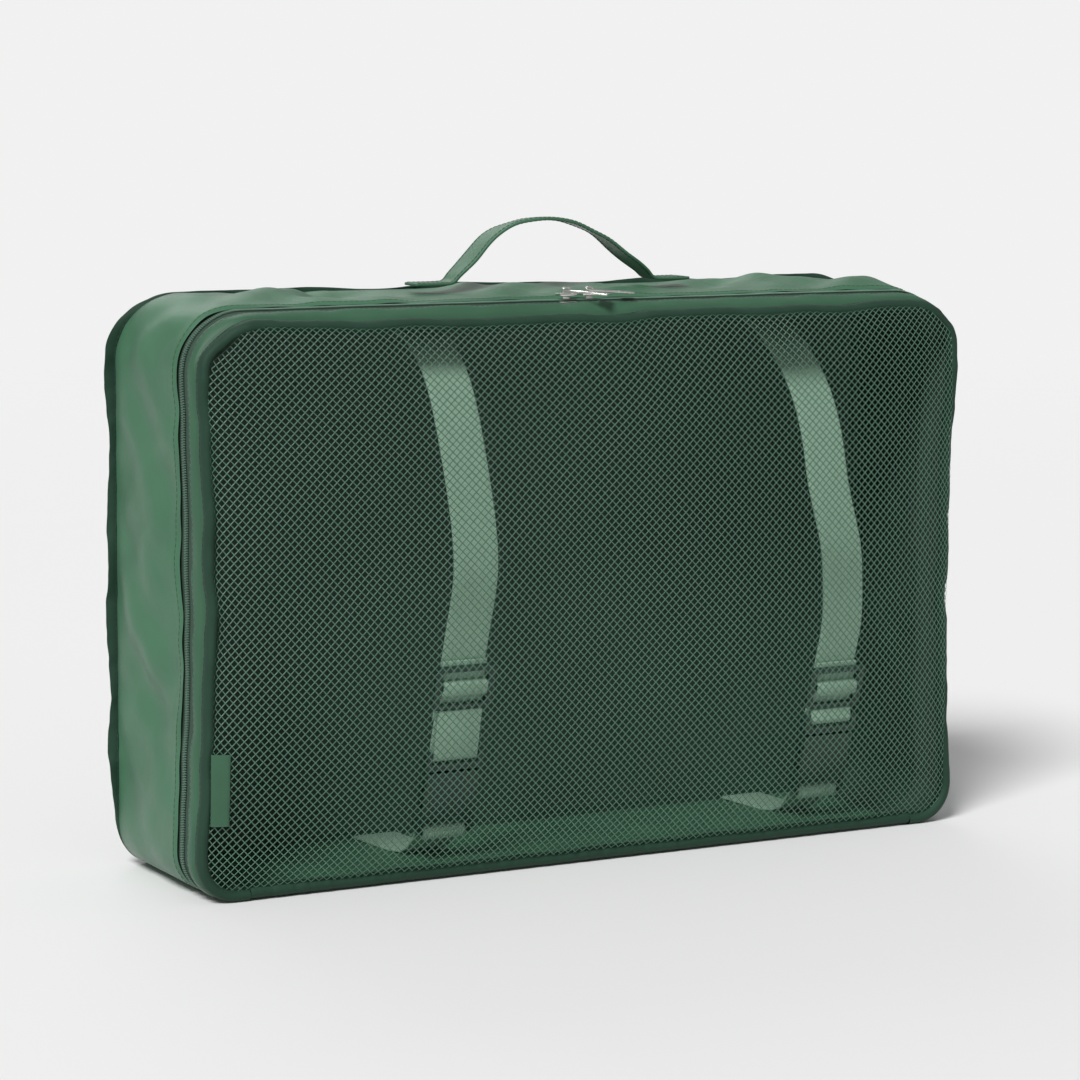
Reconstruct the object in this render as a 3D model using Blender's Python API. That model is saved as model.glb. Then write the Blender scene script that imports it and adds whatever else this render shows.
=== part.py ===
"""A packed-out laundry bag: a fabric tray, a zipped netting lid, a carry loop and two inner straps.

Metres, +Z up, the netting faces -Y. The origin is the centre of the bag's bottom.
Each sewn or moulded piece is its own closed solid, and neighbours keep a small gap.
"""
import math

import bmesh
import bpy
from mathutils import Matrix, Vector

# ---------------------------------------------------------------- driving dimensions
WIDTH = 0.450
HEIGHT = 0.293
FRONT_Y = -0.040
BACK_Y = 0.058
TOP_RADIUS = 0.032
BOTTOM_RADIUS = 0.022
FABRIC = 0.0012
GAP = 0.0003
CORNER_STEPS = 6
HALF_W = WIDTH / 2

# The lid's fabric border and the zip, as distances behind the front seam.
BINDING_HALF_DEPTH = 0.0040
BINDING_HALF_HEIGHT = 0.0035
LID_STRIP_END = 0.0115
ZIP_CENTRE = 0.0180
ZIP_SPLIT = 0.0010
COIL_WIDTH = 0.0020
COIL_HEIGHT = 0.0012
TAPE_THICKNESS = 0.0006
TAPE_REACH = 0.0110
TAPE_SPLIT = 0.0016
GUSSET_START = 0.0245
CORNER_TAIL = 0.0060
BOTTOM_STRIP_HALF = HALF_W - BOTTOM_RADIUS - CORNER_TAIL - GAP

# The netting and the back swell with what is packed.
NET_THICKNESS = 0.0010
NET_BULGE = 0.0240
FLANGE_THICKNESS = 0.0022
FLANGE_HALF_HEIGHT = 0.0035
BACK_BULGE = 0.0053
PANEL_RINGS = (1.0, 0.97, 0.92, 0.82, 0.65, 0.4)

# The carry loop.
HANDLE_X = 0.005
HANDLE_Y = 0.022
HANDLE_HALF_SPAN = 0.0565
HANDLE_RISE = 0.038
HANDLE_PIVOT_RISE = 0.0060
HANDLE_HALF_WIDTH = 0.0090
HANDLE_FOOT_HALF_WIDTH = 0.0065
HANDLE_THICKNESS = 0.0016
HANDLE_TAB_LENGTH = 0.026
HANDLE_STEPS = 20
HANDLE_POWER = 1.9
HANDLE_NECK = ((0.0, 0.0010), (0.0011, 0.0016), (0.0030, 0.0065), (0.0100, HANDLE_HALF_WIDTH))
HANDLE_NECK_GAP = 0.0004
HANDLE_NECK_HALF = 0.0015
HANDLE_FOOT_THICKNESS = 0.0012

# The two zip sliders meet at the middle of the top.
SLIDER_X = {"left": -0.0095, "right": 0.0040}
SLIDER_LENGTH = 0.0100
SLIDER_HALF_WIDTH = 0.0040
PLATE = 0.0012
CROWN_HEIGHT = 0.0032
CROWN_HALF = 0.0022
CROWN_WALL = 0.0007
TAB_LENGTH = 0.0230
TAB_NARROW = 0.0034
TAB_WIDE = 0.0046
TAB_SIDE = 0.0009
TAB_GRIP = 0.0070
TAB_BAR = 0.0008
TAB_BAR_RISE = 0.0012
TAB_DROP = 3.0
TAB_TURN = {"left": -45.0, "right": -20.0}

# The inner straps, their buckles and adjusters.
WEB_WIDTH = 0.025
WEB_THICKNESS = 0.0014
ROUTE_STEPS = 4
LINE_BOTTOM = (-0.0030, 0.0120)
LINE_TOP = (-0.0500, 0.1650)
STRAPS = {
    "left": {
        "x": -0.074,
        "top_x": -0.084,
        "bottom_x": -0.080,
        "adjuster": 0.090,
        "arc": [(-0.0475, 0.212), (-0.0360, 0.250), (-0.0120, 0.272), (0.0200, 0.2805), (0.0520, 0.2835)],
    },
    "right": {
        "x": 0.156,
        "top_x": 0.136,
        "bottom_x": 0.150,
        "adjuster": 0.070,
        "arc": [(-0.0440, 0.208), (-0.0290, 0.240), (-0.0030, 0.264), (0.0260, 0.2775), (0.0520, 0.2835)],
    },
}
BUCKLE_OFFSET = 0.0047
ARM_RATE = 11.4
RUN_START_BELOW_ADJUSTER = 0.020
ADJUSTER_HALF_WIDTH = 0.0170
ADJUSTER_HALF_HEIGHT = 0.0120
ADJUSTER_CORNER = 0.0020
ADJUSTER_BAR_HALF = 0.0020
ADJUSTER_SLOT_END = 0.0090
ADJUSTER_FRONT = -0.0062
ADJUSTER_BACK = -0.0032
UPPER_BAR = 0.0518
LOWER_BAR = 0.0080
BAR_HALF = 0.0016
RAIL_INNER = 0.0131
BAR_TURN = BAR_HALF + GAP + WEB_THICKNESS / 2

GREEN = (0.075, 0.195, 0.120)
DARK_GREEN = (0.018, 0.062, 0.042)
NET_GREEN = (0.030, 0.105, 0.070)
WEB_GREEN = (0.065, 0.190, 0.115)
BUCKLE_GREEN = (0.012, 0.040, 0.028)
SILVER = (0.80, 0.79, 0.77)


# ---------------------------------------------------------------- helpers
def material(name, colour, roughness, metallic=0.0):
    """A Principled material, made once for each name."""
    found = bpy.data.materials.get(name)
    if found:
        return found
    made = bpy.data.materials.new(name)
    made.use_nodes = True
    shader = made.node_tree.nodes["Principled BSDF"]
    shader.inputs["Base Color"].default_value = (*colour, 1.0)
    shader.inputs["Roughness"].default_value = roughness
    shader.inputs["Metallic"].default_value = metallic
    return made


def finish(name, mesh_data, look, parent=None):
    """Turn a bmesh into a named object with outward normals, under its parent empty."""
    bmesh.ops.recalc_face_normals(mesh_data, faces=mesh_data.faces)
    mesh = bpy.data.meshes.new(name)
    mesh_data.to_mesh(mesh)
    mesh_data.free()
    item = bpy.data.objects.new(name, mesh)
    item.data.materials.append(look)
    bpy.context.collection.objects.link(item)
    if parent:
        item.parent = parent
    return item


def pivot(name, place, tilt=0.0, parent=None):
    """An empty on a joint's axis; tilt turns it about X."""
    item = bpy.data.objects.new(name, None)
    item.location = place
    item.rotation_euler = (tilt, 0.0, 0.0)
    bpy.context.collection.objects.link(item)
    if parent:
        item.parent = parent
    return item


def rim(half_width, bottom, top, top_radius, bottom_radius, tail=None):
    """Points and outward normals round a rounded rectangle, in X and Z.

    With a tail the path is open: it starts on the bottom, a tail's length past the left corner,
    and runs up the left, along the top and down the right to the same place.
    """
    corners = [
        (-half_width + bottom_radius, bottom + bottom_radius, bottom_radius, 270),
        (-half_width + top_radius, top - top_radius, top_radius, 180),
        (half_width - top_radius, top - top_radius, top_radius, 90),
        (half_width - bottom_radius, bottom + bottom_radius, bottom_radius, 0),
    ]
    path = []
    for x, z, radius, start in corners:
        for step in range(CORNER_STEPS + 1):
            angle = math.radians(start - 90 * step / CORNER_STEPS)
            normal = (math.cos(angle), math.sin(angle))
            path.append((x + radius * normal[0], z + radius * normal[1], *normal))
    if tail is not None:
        first = (path[0][0] + tail, bottom, 0.0, -1.0)
        last = (path[-1][0] - tail, bottom, 0.0, -1.0)
        path = [first] + path + [last]
    return path


def sweep(path, section, closed):
    """Sweep a closed section of (outward offset, y) pairs along a rim path."""
    made = bmesh.new()
    rings = []
    for x, z, normal_x, normal_z in path:
        rings.append([made.verts.new((x + out * normal_x, y, z + out * normal_z)) for out, y in section])
    count = len(rings)
    steps = count if closed else count - 1
    for index in range(steps):
        here = rings[index]
        there = rings[(index + 1) % count]
        for corner in range(len(section)):
            after = (corner + 1) % len(section)
            made.faces.new((here[corner], here[after], there[after], there[corner]))
    if not closed:
        made.faces.new(rings[0])
        made.faces.new(rings[-1])
    return made


def strip_section(outer, inner, y_front, y_back):
    return [(outer, y_front), (outer, y_back), (inner, y_back), (inner, y_front)]


def oval_section(half_height, y_centre, half_depth, sides=8):
    turn = 2 * math.pi / sides
    return [
        (half_height * math.cos(turn * (k + 0.5)), y_centre + half_depth * math.sin(turn * (k + 0.5)))
        for k in range(sides)
    ]


def swollen_panel(path, y_rim, thickness, bulge, direction):
    """A sheet inside a closed rim path that swells out to its middle, with rounded shoulders."""
    made = bmesh.new()
    centre_z = (min(p[1] for p in path) + max(p[1] for p in path)) / 2
    sheets = []
    for layer in (0.0, thickness):
        rings = []
        for scale in PANEL_RINGS:
            y = y_rim + direction * (layer + bulge * (1 - scale ** 4) ** 0.6)
            rings.append([made.verts.new((p[0] * scale, y, centre_z + (p[1] - centre_z) * scale)) for p in path])
        middle = made.verts.new((0.0, y_rim + direction * (layer + bulge), centre_z))
        for outer, inner in zip(rings, rings[1:]):
            for k in range(len(path)):
                after = (k + 1) % len(path)
                made.faces.new((outer[k], outer[after], inner[after], inner[k]))
        for k in range(len(path)):
            made.faces.new((rings[-1][k], rings[-1][(k + 1) % len(path)], middle))
        sheets.append(rings[0])
    for k in range(len(path)):
        after = (k + 1) % len(path)
        made.faces.new((sheets[0][k], sheets[0][after], sheets[1][after], sheets[1][k]))
    return made


def block(low, high):
    """A box between two corners."""
    made = bmesh.new()
    bmesh.ops.create_cube(made, size=1.0)
    size = [high[k] - low[k] for k in range(3)]
    centre = [(high[k] + low[k]) / 2 for k in range(3)]
    bmesh.ops.transform(made, matrix=Matrix.Translation(centre) @ Matrix.Diagonal((*size, 1.0)), verts=made.verts)
    return made


def prism(outline, place, low, high):
    """Extrude a flat outline: place(a, b, t) gives the point for outline values a, b at depth t."""
    made = bmesh.new()
    near = [made.verts.new(place(a, b, low)) for a, b in outline]
    far = [made.verts.new(place(a, b, high)) for a, b in outline]
    made.faces.new(near)
    made.faces.new(list(reversed(far)))
    for k in range(len(outline)):
        after = (k + 1) % len(outline)
        made.faces.new((near[k], near[after], far[after], far[k]))
    return made


def combine(base, others, look, operation="UNION"):
    """Join or cut closed bmeshes with exact Booleans, and give the resulting bmesh."""
    body = finish("work_body", base, look)
    tools = []
    for index, other in enumerate(others):
        tool = finish("work_tool_%d" % index, other, look)
        tools.append(tool)
        step = body.modifiers.new("step_%d" % index, "BOOLEAN")
        step.solver = "EXACT"
        step.operation = operation
        step.object = tool
    evaluated = body.evaluated_get(bpy.context.evaluated_depsgraph_get())
    made = bmesh.new()
    made.from_mesh(evaluated.to_mesh())
    evaluated.to_mesh_clear()
    for item in [body] + tools:
        bpy.data.objects.remove(item, do_unlink=True)
    bmesh.ops.remove_doubles(made, verts=made.verts, dist=1e-6)
    return made


def smooth_route(points, per_span=4):
    """Catmull-Rom points through a short list of (y, z) points."""
    ends = [points[0]] + list(points) + [points[-1]]
    route = []
    for k in range(len(points) - 1):
        before, start, stop, after = ends[k:k + 4]
        for step in range(per_span):
            t = step / per_span
            route.append(tuple(
                0.5 * (2 * start[c] + (stop[c] - before[c]) * t
                       + (2 * before[c] - 5 * start[c] + 4 * stop[c] - after[c]) * t ** 2
                       + (3 * start[c] - before[c] - 3 * stop[c] + after[c]) * t ** 3)
                for c in range(len(start))))
    route.append(tuple(points[-1]))
    return route


def webbing(route, width, thickness):
    """A flat strap along (x centre, y, z) points: its width lies along X."""
    made = bmesh.new()
    rings = []
    for k, (x, y, z) in enumerate(route):
        before = route[max(k - 1, 0)]
        after = route[min(k + 1, len(route) - 1)]
        along = Vector((after[1] - before[1], after[2] - before[2])).normalized()
        if 0 < k < len(route) - 1:
            first = Vector((y - before[1], z - before[2])).normalized()
            mitre = 1.0 / max(abs(first.dot(along)), 0.5)
        else:
            mitre = 1.0
        side = Vector((-along[1], along[0])) * thickness / 2 * mitre
        ring = []
        for across, out in ((-1, -1), (1, -1), (1, 1), (-1, 1)):
            ring.append(made.verts.new((x + across * width / 2, y + out * side[0], z + out * side[1])))
        rings.append(ring)
    for here, there in zip(rings, rings[1:]):
        for k in range(4):
            after = (k + 1) % 4
            made.faces.new((here[k], here[after], there[after], there[k]))
    made.faces.new(rings[0])
    made.faces.new(rings[-1])
    return made


# ---------------------------------------------------------------- the tray: back, walls and seams
def build_tray():
    satin = material("satin_nylon", GREEN, 0.42)
    tape = material("bound_seam", DARK_GREEN, 0.6)
    wall_path = rim(HALF_W, 0.0, HEIGHT, TOP_RADIUS, BOTTOM_RADIUS, CORNER_TAIL)
    gusset_front = FRONT_Y + GUSSET_START
    wall = strip_section(0.0, -FABRIC, gusset_front, BACK_Y - GAP)
    finish("side_gusset", sweep(wall_path, wall, closed=False), satin)

    front = FRONT_Y + BINDING_HALF_DEPTH + GAP
    finish("bottom_gusset", block((-BOTTOM_STRIP_HALF, front, 0.0), (BOTTOM_STRIP_HALF, BACK_Y - GAP, FABRIC)), satin)

    flange_path = rim(HALF_W + 0.0015, FLANGE_HALF_HEIGHT, HEIGHT + 0.001, TOP_RADIUS, BOTTOM_RADIUS)
    flange = strip_section(FLANGE_HALF_HEIGHT, -FLANGE_HALF_HEIGHT, BACK_Y, BACK_Y + FLANGE_THICKNESS)
    finish("back_binding", sweep(flange_path, flange, closed=True), tape)

    inset = FLANGE_HALF_HEIGHT + GAP
    panel_path = rim(
        HALF_W + 0.0015 - inset, FLANGE_HALF_HEIGHT + inset, HEIGHT + 0.001 - inset,
        TOP_RADIUS - inset, BOTTOM_RADIUS - inset)
    finish("back_panel", swollen_panel(panel_path, BACK_Y, FABRIC, BACK_BULGE, 1), satin)

    centre = BINDING_HALF_HEIGHT + 0.0005
    tube = oval_section(BINDING_HALF_HEIGHT, 0.0, BINDING_HALF_DEPTH)
    seam = prism(tube, lambda a, b, t: (t, FRONT_Y + b, centre + a), -BOTTOM_STRIP_HALF, BOTTOM_STRIP_HALF)
    finish("hinge_binding", seam, tape)


# ---------------------------------------------------------------- the zip
def build_zip(lid):
    tape_look = material("zip_tape", DARK_GREEN, 0.7)
    coil_look = material("zip_coil", DARK_GREEN, 0.35)
    path = rim(HALF_W, 0.0, HEIGHT, TOP_RADIUS, BOTTOM_RADIUS, CORNER_TAIL)
    middle = FRONT_Y + ZIP_CENTRE
    tape_top = -FABRIC - GAP
    for side, suffix, parent in ((-1, "lid", lid), (1, "tray", None)):
        near = middle + side * TAPE_SPLIT / 2
        far = middle + side * TAPE_REACH
        tape = strip_section(tape_top, tape_top - TAPE_THICKNESS, near, far)
        place(finish("zip_tape_" + suffix, sweep(path, tape, closed=False), tape_look), parent)
        near = middle + side * ZIP_SPLIT / 2
        coil = strip_section(-GAP, -COIL_HEIGHT, near, near + side * COIL_WIDTH)
        place(finish("zip_coil_" + suffix, sweep(path, coil, closed=False), coil_look), parent)
    stop_x = HALF_W - BOTTOM_RADIUS - CORNER_TAIL - GAP
    reach = ZIP_SPLIT / 2 + COIL_WIDTH
    for sign, suffix in ((-1, "left"), (1, "right")):
        low = (min(sign * stop_x, sign * (stop_x - 0.003)), middle - reach, FABRIC + GAP)
        high = (max(sign * stop_x, sign * (stop_x - 0.003)), middle + reach, FABRIC + GAP + 0.0016)
        finish("zip_stop_" + suffix, block(low, high), coil_look)


def place(item, parent):
    """Hang an object modelled in world space under a parent empty without moving it."""
    if parent:
        item.parent = parent
        item.matrix_parent_inverse = parent.matrix_world.inverted()
    return item


# ---------------------------------------------------------------- the netting lid
def build_lid(lid):
    satin = material("satin_nylon", GREEN, 0.42)
    tape = material("bound_seam", DARK_GREEN, 0.6)
    net = material("netting", NET_GREEN, 0.55)
    path = rim(HALF_W, 0.0, HEIGHT, TOP_RADIUS, BOTTOM_RADIUS, CORNER_TAIL)
    strip = strip_section(0.0, -FABRIC, FRONT_Y + BINDING_HALF_DEPTH + GAP, FRONT_Y + LID_STRIP_END)
    place(finish("lid_strip", sweep(path, strip, closed=False), satin), lid)

    inset = BINDING_HALF_HEIGHT
    seat = BINDING_HALF_HEIGHT + 0.0005
    binding_path = rim(
        HALF_W - inset, seat, HEIGHT - inset, TOP_RADIUS - inset, BOTTOM_RADIUS - inset, CORNER_TAIL)
    tube = oval_section(BINDING_HALF_HEIGHT, FRONT_Y, BINDING_HALF_DEPTH)
    place(finish("front_binding", sweep(binding_path, tube, closed=False), tape), lid)

    inset = 2 * BINDING_HALF_HEIGHT + GAP
    net_path = rim(
        HALF_W - inset, seat + BINDING_HALF_HEIGHT + 0.0005, HEIGHT - inset,
        TOP_RADIUS - inset, BOTTOM_RADIUS - inset)
    rim_y = FRONT_Y + NET_THICKNESS / 2
    place(finish("mesh_panel", swollen_panel(net_path, rim_y, NET_THICKNESS, NET_BULGE, -1), net), lid)

    # The blank tab is sewn into the binding low on the left and lies on the swelling net.
    start = Vector((-0.2150, -0.0458))
    stop = Vector((-0.2060, -0.0528))
    along = (stop - start).normalized()
    off = Vector((along[1], -along[0])) * 0.0003
    corners = [start + off, stop + off, stop - off, start - off]
    tab = prism(corners, lambda a, b, t: (a, b, t), 0.040, 0.076)
    place(finish("blank_label", tab, material("label", GREEN, 0.5)), lid)


# ---------------------------------------------------------------- sliders and pull tabs
def build_slider(side):
    """A zip slider on the tray's coil, with a crown that holds its pull tab."""
    metal = material("slider_metal", SILVER, 0.22, 1.0)
    x = SLIDER_X[side]
    y = FRONT_Y + ZIP_CENTRE
    top = HEIGHT + 0.0005
    half = SLIDER_LENGTH / 2
    lower_top = HEIGHT - FABRIC - GAP - TAPE_THICKNESS - GAP
    nose = 0.6 * SLIDER_HALF_WIDTH
    outline = [
        (-half, -nose), (half - 0.003, -SLIDER_HALF_WIDTH), (half, -SLIDER_HALF_WIDTH + 0.001),
        (half, SLIDER_HALF_WIDTH - 0.001), (half - 0.003, SLIDER_HALF_WIDTH), (-half, nose),
    ]
    turn = 1 if side == "right" else -1
    outline = [(a * turn, b) for a, b in outline]
    upper = prism(outline, lambda a, b, t: (x + a, y + b, t), top, top + PLATE)
    lower = prism(outline, lambda a, b, t: (x + a, y + b, t), lower_top - PLATE, lower_top)
    web = block((x - 0.002, y - 0.0002, lower_top - PLATE / 2), (x + 0.002, y + 0.0002, top + PLATE / 2))
    seat = top + PLATE / 2
    crown_top = top + PLATE + CROWN_HEIGHT
    under = crown_top - CROWN_WALL
    inner = CROWN_HALF - CROWN_WALL
    arch = [
        (-CROWN_HALF, seat), (-CROWN_HALF, crown_top - 0.0008), (-CROWN_HALF + 0.0008, crown_top),
        (CROWN_HALF - 0.0008, crown_top), (CROWN_HALF, crown_top - 0.0008), (CROWN_HALF, seat),
        (inner, seat), (inner, under - 0.0004), (inner - 0.0004, under),
        (-inner + 0.0004, under), (-inner, under - 0.0004), (-inner, seat),
    ]
    crown = prism(arch, lambda a, b, t: (x + a, t, b), y - 0.0008, y + 0.0008)
    body = combine(upper, [lower, web, crown], metal)
    hub = pivot("slider_%s_travel" % side, (x, y, HEIGHT))
    bpy.context.view_layer.update()
    place(finish("slider_%s" % side, body, metal), hub)
    return hub


def build_tab(side, hub):
    """An open trapezoid pull tab: its thin bar runs under the slider's crown."""
    metal = material("slider_metal", SILVER, 0.22, 1.0)
    spot = Vector((SLIDER_X[side], FRONT_Y + ZIP_CENTRE, HEIGHT + 0.0005 + PLATE + TAB_BAR_RISE))
    turn = Matrix.Rotation(math.radians(TAB_TURN[side]), 4, "Z") @ Matrix.Rotation(math.radians(TAB_DROP), 4, "Y")
    outer = [
        (-TAB_BAR / 2, -TAB_NARROW), (TAB_LENGTH, -TAB_WIDE), (TAB_LENGTH, TAB_WIDE), (-TAB_BAR / 2, TAB_NARROW)]
    hole_end = TAB_LENGTH - TAB_GRIP
    inner = [
        (TAB_BAR / 2, -TAB_NARROW + TAB_SIDE), (hole_end, -TAB_WIDE + TAB_SIDE + 0.0003),
        (hole_end, TAB_WIDE - TAB_SIDE - 0.0003), (TAB_BAR / 2, TAB_NARROW - TAB_SIDE)]

    def point(a, b, t):
        return spot + turn @ Vector((a, b, t))

    half = TAB_BAR / 2
    body = combine(prism(outer, point, -half, half), [prism(inner, point, -0.002, 0.002)], metal, "DIFFERENCE")
    hinge = pivot("tab_%s_hinge" % side, spot)
    bpy.context.view_layer.update()
    place(hinge, hub)
    bpy.context.view_layer.update()
    place(finish("pull_tab_%s" % side, body, metal), hinge)


# ---------------------------------------------------------------- the carry loop
def handle_half_width(rise):
    """The strap is pinched to a narrow neck at each sewn end, so that it can tip over."""
    for (low, narrow), (high, wide) in zip(HANDLE_NECK, HANDLE_NECK[1:]):
        if rise <= high:
            return narrow + (wide - narrow) * (rise - low) / (high - low)
    return HANDLE_NECK[-1][1]


def build_handle():
    satin = material("satin_nylon", GREEN, 0.42)
    base = HEIGHT + HANDLE_PIVOT_RISE
    height = HANDLE_RISE - HANDLE_PIVOT_RISE
    neck_spans = [(1 - rise / height) ** (1 / HANDLE_POWER) for rise, _ in HANDLE_NECK[:3]]
    arch_spans = [1 - 2 * step / HANDLE_STEPS for step in range(1, HANDLE_STEPS)]
    spans = neck_spans + arch_spans + [-span for span in reversed(neck_spans)]
    made = bmesh.new()
    rings = []
    for span in reversed(spans):
        x = HANDLE_X + HANDLE_HALF_SPAN * span
        rise = height * (1 - abs(span) ** HANDLE_POWER)
        slope = -height / HANDLE_HALF_SPAN * HANDLE_POWER * abs(span) ** (HANDLE_POWER - 1)
        normal = Vector((math.copysign(slope, span), 1.0)).normalized()
        half = handle_half_width(rise)
        ring = []
        for out, side in ((0.5, -1), (0.5, 1), (-0.5, 1), (-0.5, -1)):
            reach = out * HANDLE_THICKNESS
            spot = (x + reach * normal[0], HANDLE_Y + side * half, base + rise + reach * normal[1])
            ring.append(made.verts.new(spot))
        rings.append(ring)
    for here, there in zip(rings, rings[1:]):
        for k in range(4):
            after = (k + 1) % 4
            made.faces.new((here[k], here[after], there[after], there[k]))
    made.faces.new(rings[0])
    made.faces.new(rings[-1])
    hinge = pivot("handle_hinge", (HANDLE_X, HANDLE_Y, base))
    bpy.context.view_layer.update()
    place(finish("handle_strap", made, satin), hinge)

    # Each sewn foot lies on the top wall, with a pinched neck up to the strap's end.
    low = HEIGHT + GAP
    deck = low + HANDLE_FOOT_THICKNESS
    neck_top = base - HANDLE_NECK_GAP - HANDLE_THICKNESS / 2
    for sign, suffix in ((-1, "left"), (1, "right")):
        inner = HANDLE_HALF_SPAN - HANDLE_THICKNESS / 2
        outer = HANDLE_HALF_SPAN + HANDLE_THICKNESS / 2
        profile = [
            (inner, low), (inner + HANDLE_TAB_LENGTH, low), (inner + HANDLE_TAB_LENGTH, deck), (inner, deck)]
        tab = prism(
            profile, lambda a, b, t: (HANDLE_X + sign * a, t, b),
            HANDLE_Y - HANDLE_FOOT_HALF_WIDTH, HANDLE_Y + HANDLE_FOOT_HALF_WIDTH)
        sides = sorted((HANDLE_X + sign * inner, HANDLE_X + sign * outer))
        neck = block(
            (sides[0], HANDLE_Y - HANDLE_NECK_HALF, low + HANDLE_FOOT_THICKNESS / 2),
            (sides[1], HANDLE_Y + HANDLE_NECK_HALF, neck_top))
        finish("handle_foot_" + suffix, combine(tab, [neck], satin), satin)


# ---------------------------------------------------------------- inner straps
def line_tilt():
    rise = LINE_TOP[1] - LINE_BOTTOM[1]
    run = LINE_TOP[0] - LINE_BOTTOM[0]
    return math.atan2(-run, rise)


def line_point(up, out):
    """World (y, z) of a point up along the strap's straight line and out from it to the front."""
    tilt = line_tilt()
    y = LINE_BOTTOM[0] - up * math.sin(tilt) - out * math.cos(tilt)
    z = LINE_BOTTOM[1] + up * math.cos(tilt) - out * math.sin(tilt)
    return (y, z)


def slide_x(start, stop, count):
    """Ease from one x to another in so many points."""
    return [start + (stop - start) * (3 - 2 * k / (count - 1)) * (k / (count - 1)) ** 2 for k in range(count)]


def build_strap_runs(side):
    """The fixed webbing: the long run from the top seam, and the short one from the bottom seam."""
    look = material("webbing", WEB_GREEN, 0.6)
    strap = STRAPS[side]
    straight = [line_point(strap["adjuster"] - RUN_START_BELOW_ADJUSTER, 0.0), line_point(0.120, 0.0)]
    arc = smooth_route([straight[1], LINE_TOP] + strap["arc"], ROUTE_STEPS)[ROUTE_STEPS:]
    lean = slide_x(strap["x"], strap["top_x"], len(arc))
    route = [(strap["x"], *point) for point in straight]
    route += [(x, *point) for x, point in zip(lean, arc)]
    finish("strap_%s" % side, webbing(route, WEB_WIDTH, WEB_THICKNESS), look)

    # The lower run loops over the buckle's bar and goes back along the bottom wall.
    over = lower_route()
    floor = FABRIC + GAP + WEB_THICKNESS / 2 + 0.0003
    bend = [(0.0050, floor + 0.0040), (0.0120, floor + 0.0008), (0.0200, floor), (0.0400, floor), (0.0560, floor)]
    lean = slide_x(strap["x"], strap["bottom_x"], len(bend))
    route = [(strap["x"], *point) for point in over]
    route += [(x, *point) for x, point in zip(lean, bend)]
    finish("lower_webbing_%s" % side, webbing(route, WEB_WIDTH, WEB_THICKNESS), look)


def bar_loop(bar_up, start):
    """Half a turn of webbing round a buckle bar, as (out, up) steps along the strap's line."""
    turns = [math.radians(start + 30 * k) for k in range(7)]
    return [(BUCKLE_OFFSET - BAR_TURN * math.cos(a), bar_up + BAR_TURN * math.sin(a)) for a in turns]


def lower_route():
    """From the front tail, through the slot over the housing's bar, to its back."""
    over = [line_point(up, out) for out, up in reversed(bar_loop(LOWER_BAR, 0))]
    return [line_point(LOWER_BAR - 0.0040, BUCKLE_OFFSET + BAR_TURN)] + over


def local_prism(outline, low, high):
    """An outline in the strap's own plane: a is across, b is up the line, depth is front to back."""
    return prism(outline, lambda a, b, t: (a, t, b), low, high)


def bar(up):
    """The round bar that webbing turns over, between the two rails of a buckle half."""
    outline = oval_section(BAR_HALF, up, BAR_HALF)
    return prism(outline, lambda a, b, t: (t, a - BUCKLE_OFFSET, b), -RAIL_INNER - 0.0006, RAIL_INNER + 0.0006)


def build_female(side, frame):
    """The buckle's housing: a flat sleeve with two side windows and a bar for the lower webbing."""
    look = material("buckle_plastic", BUCKLE_GREEN, 0.4)
    outer = [
        (-0.0130, 0.0060), (0.0130, 0.0060), (0.0160, 0.0080), (0.0160, 0.0140), (0.0150, 0.0180),
        (0.0150, 0.0425), (-0.0150, 0.0425), (-0.0150, 0.0180), (-0.0160, 0.0140), (-0.0160, 0.0080)]
    depth = 0.0040
    y = -BUCKLE_OFFSET
    shell = local_prism(outer, y - depth, y + depth)
    hollows = [
        block((-RAIL_INNER, y - 0.0025, 0.0165), (RAIL_INNER, y + 0.0025, 0.0500)),
        block((-0.0200, y - 0.0025, 0.0190), (0.0200, y + 0.0025, 0.0345)),
        block((-RAIL_INNER, y - 0.0100, 0.0000), (RAIL_INNER, y + 0.0100, 0.0135)),
    ]
    hollowed = combine(shell, hollows, look, "DIFFERENCE")
    finish("buckle_housing_%s" % side, combine(hollowed, [bar(LOWER_BAR)], look), look, frame)


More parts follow.
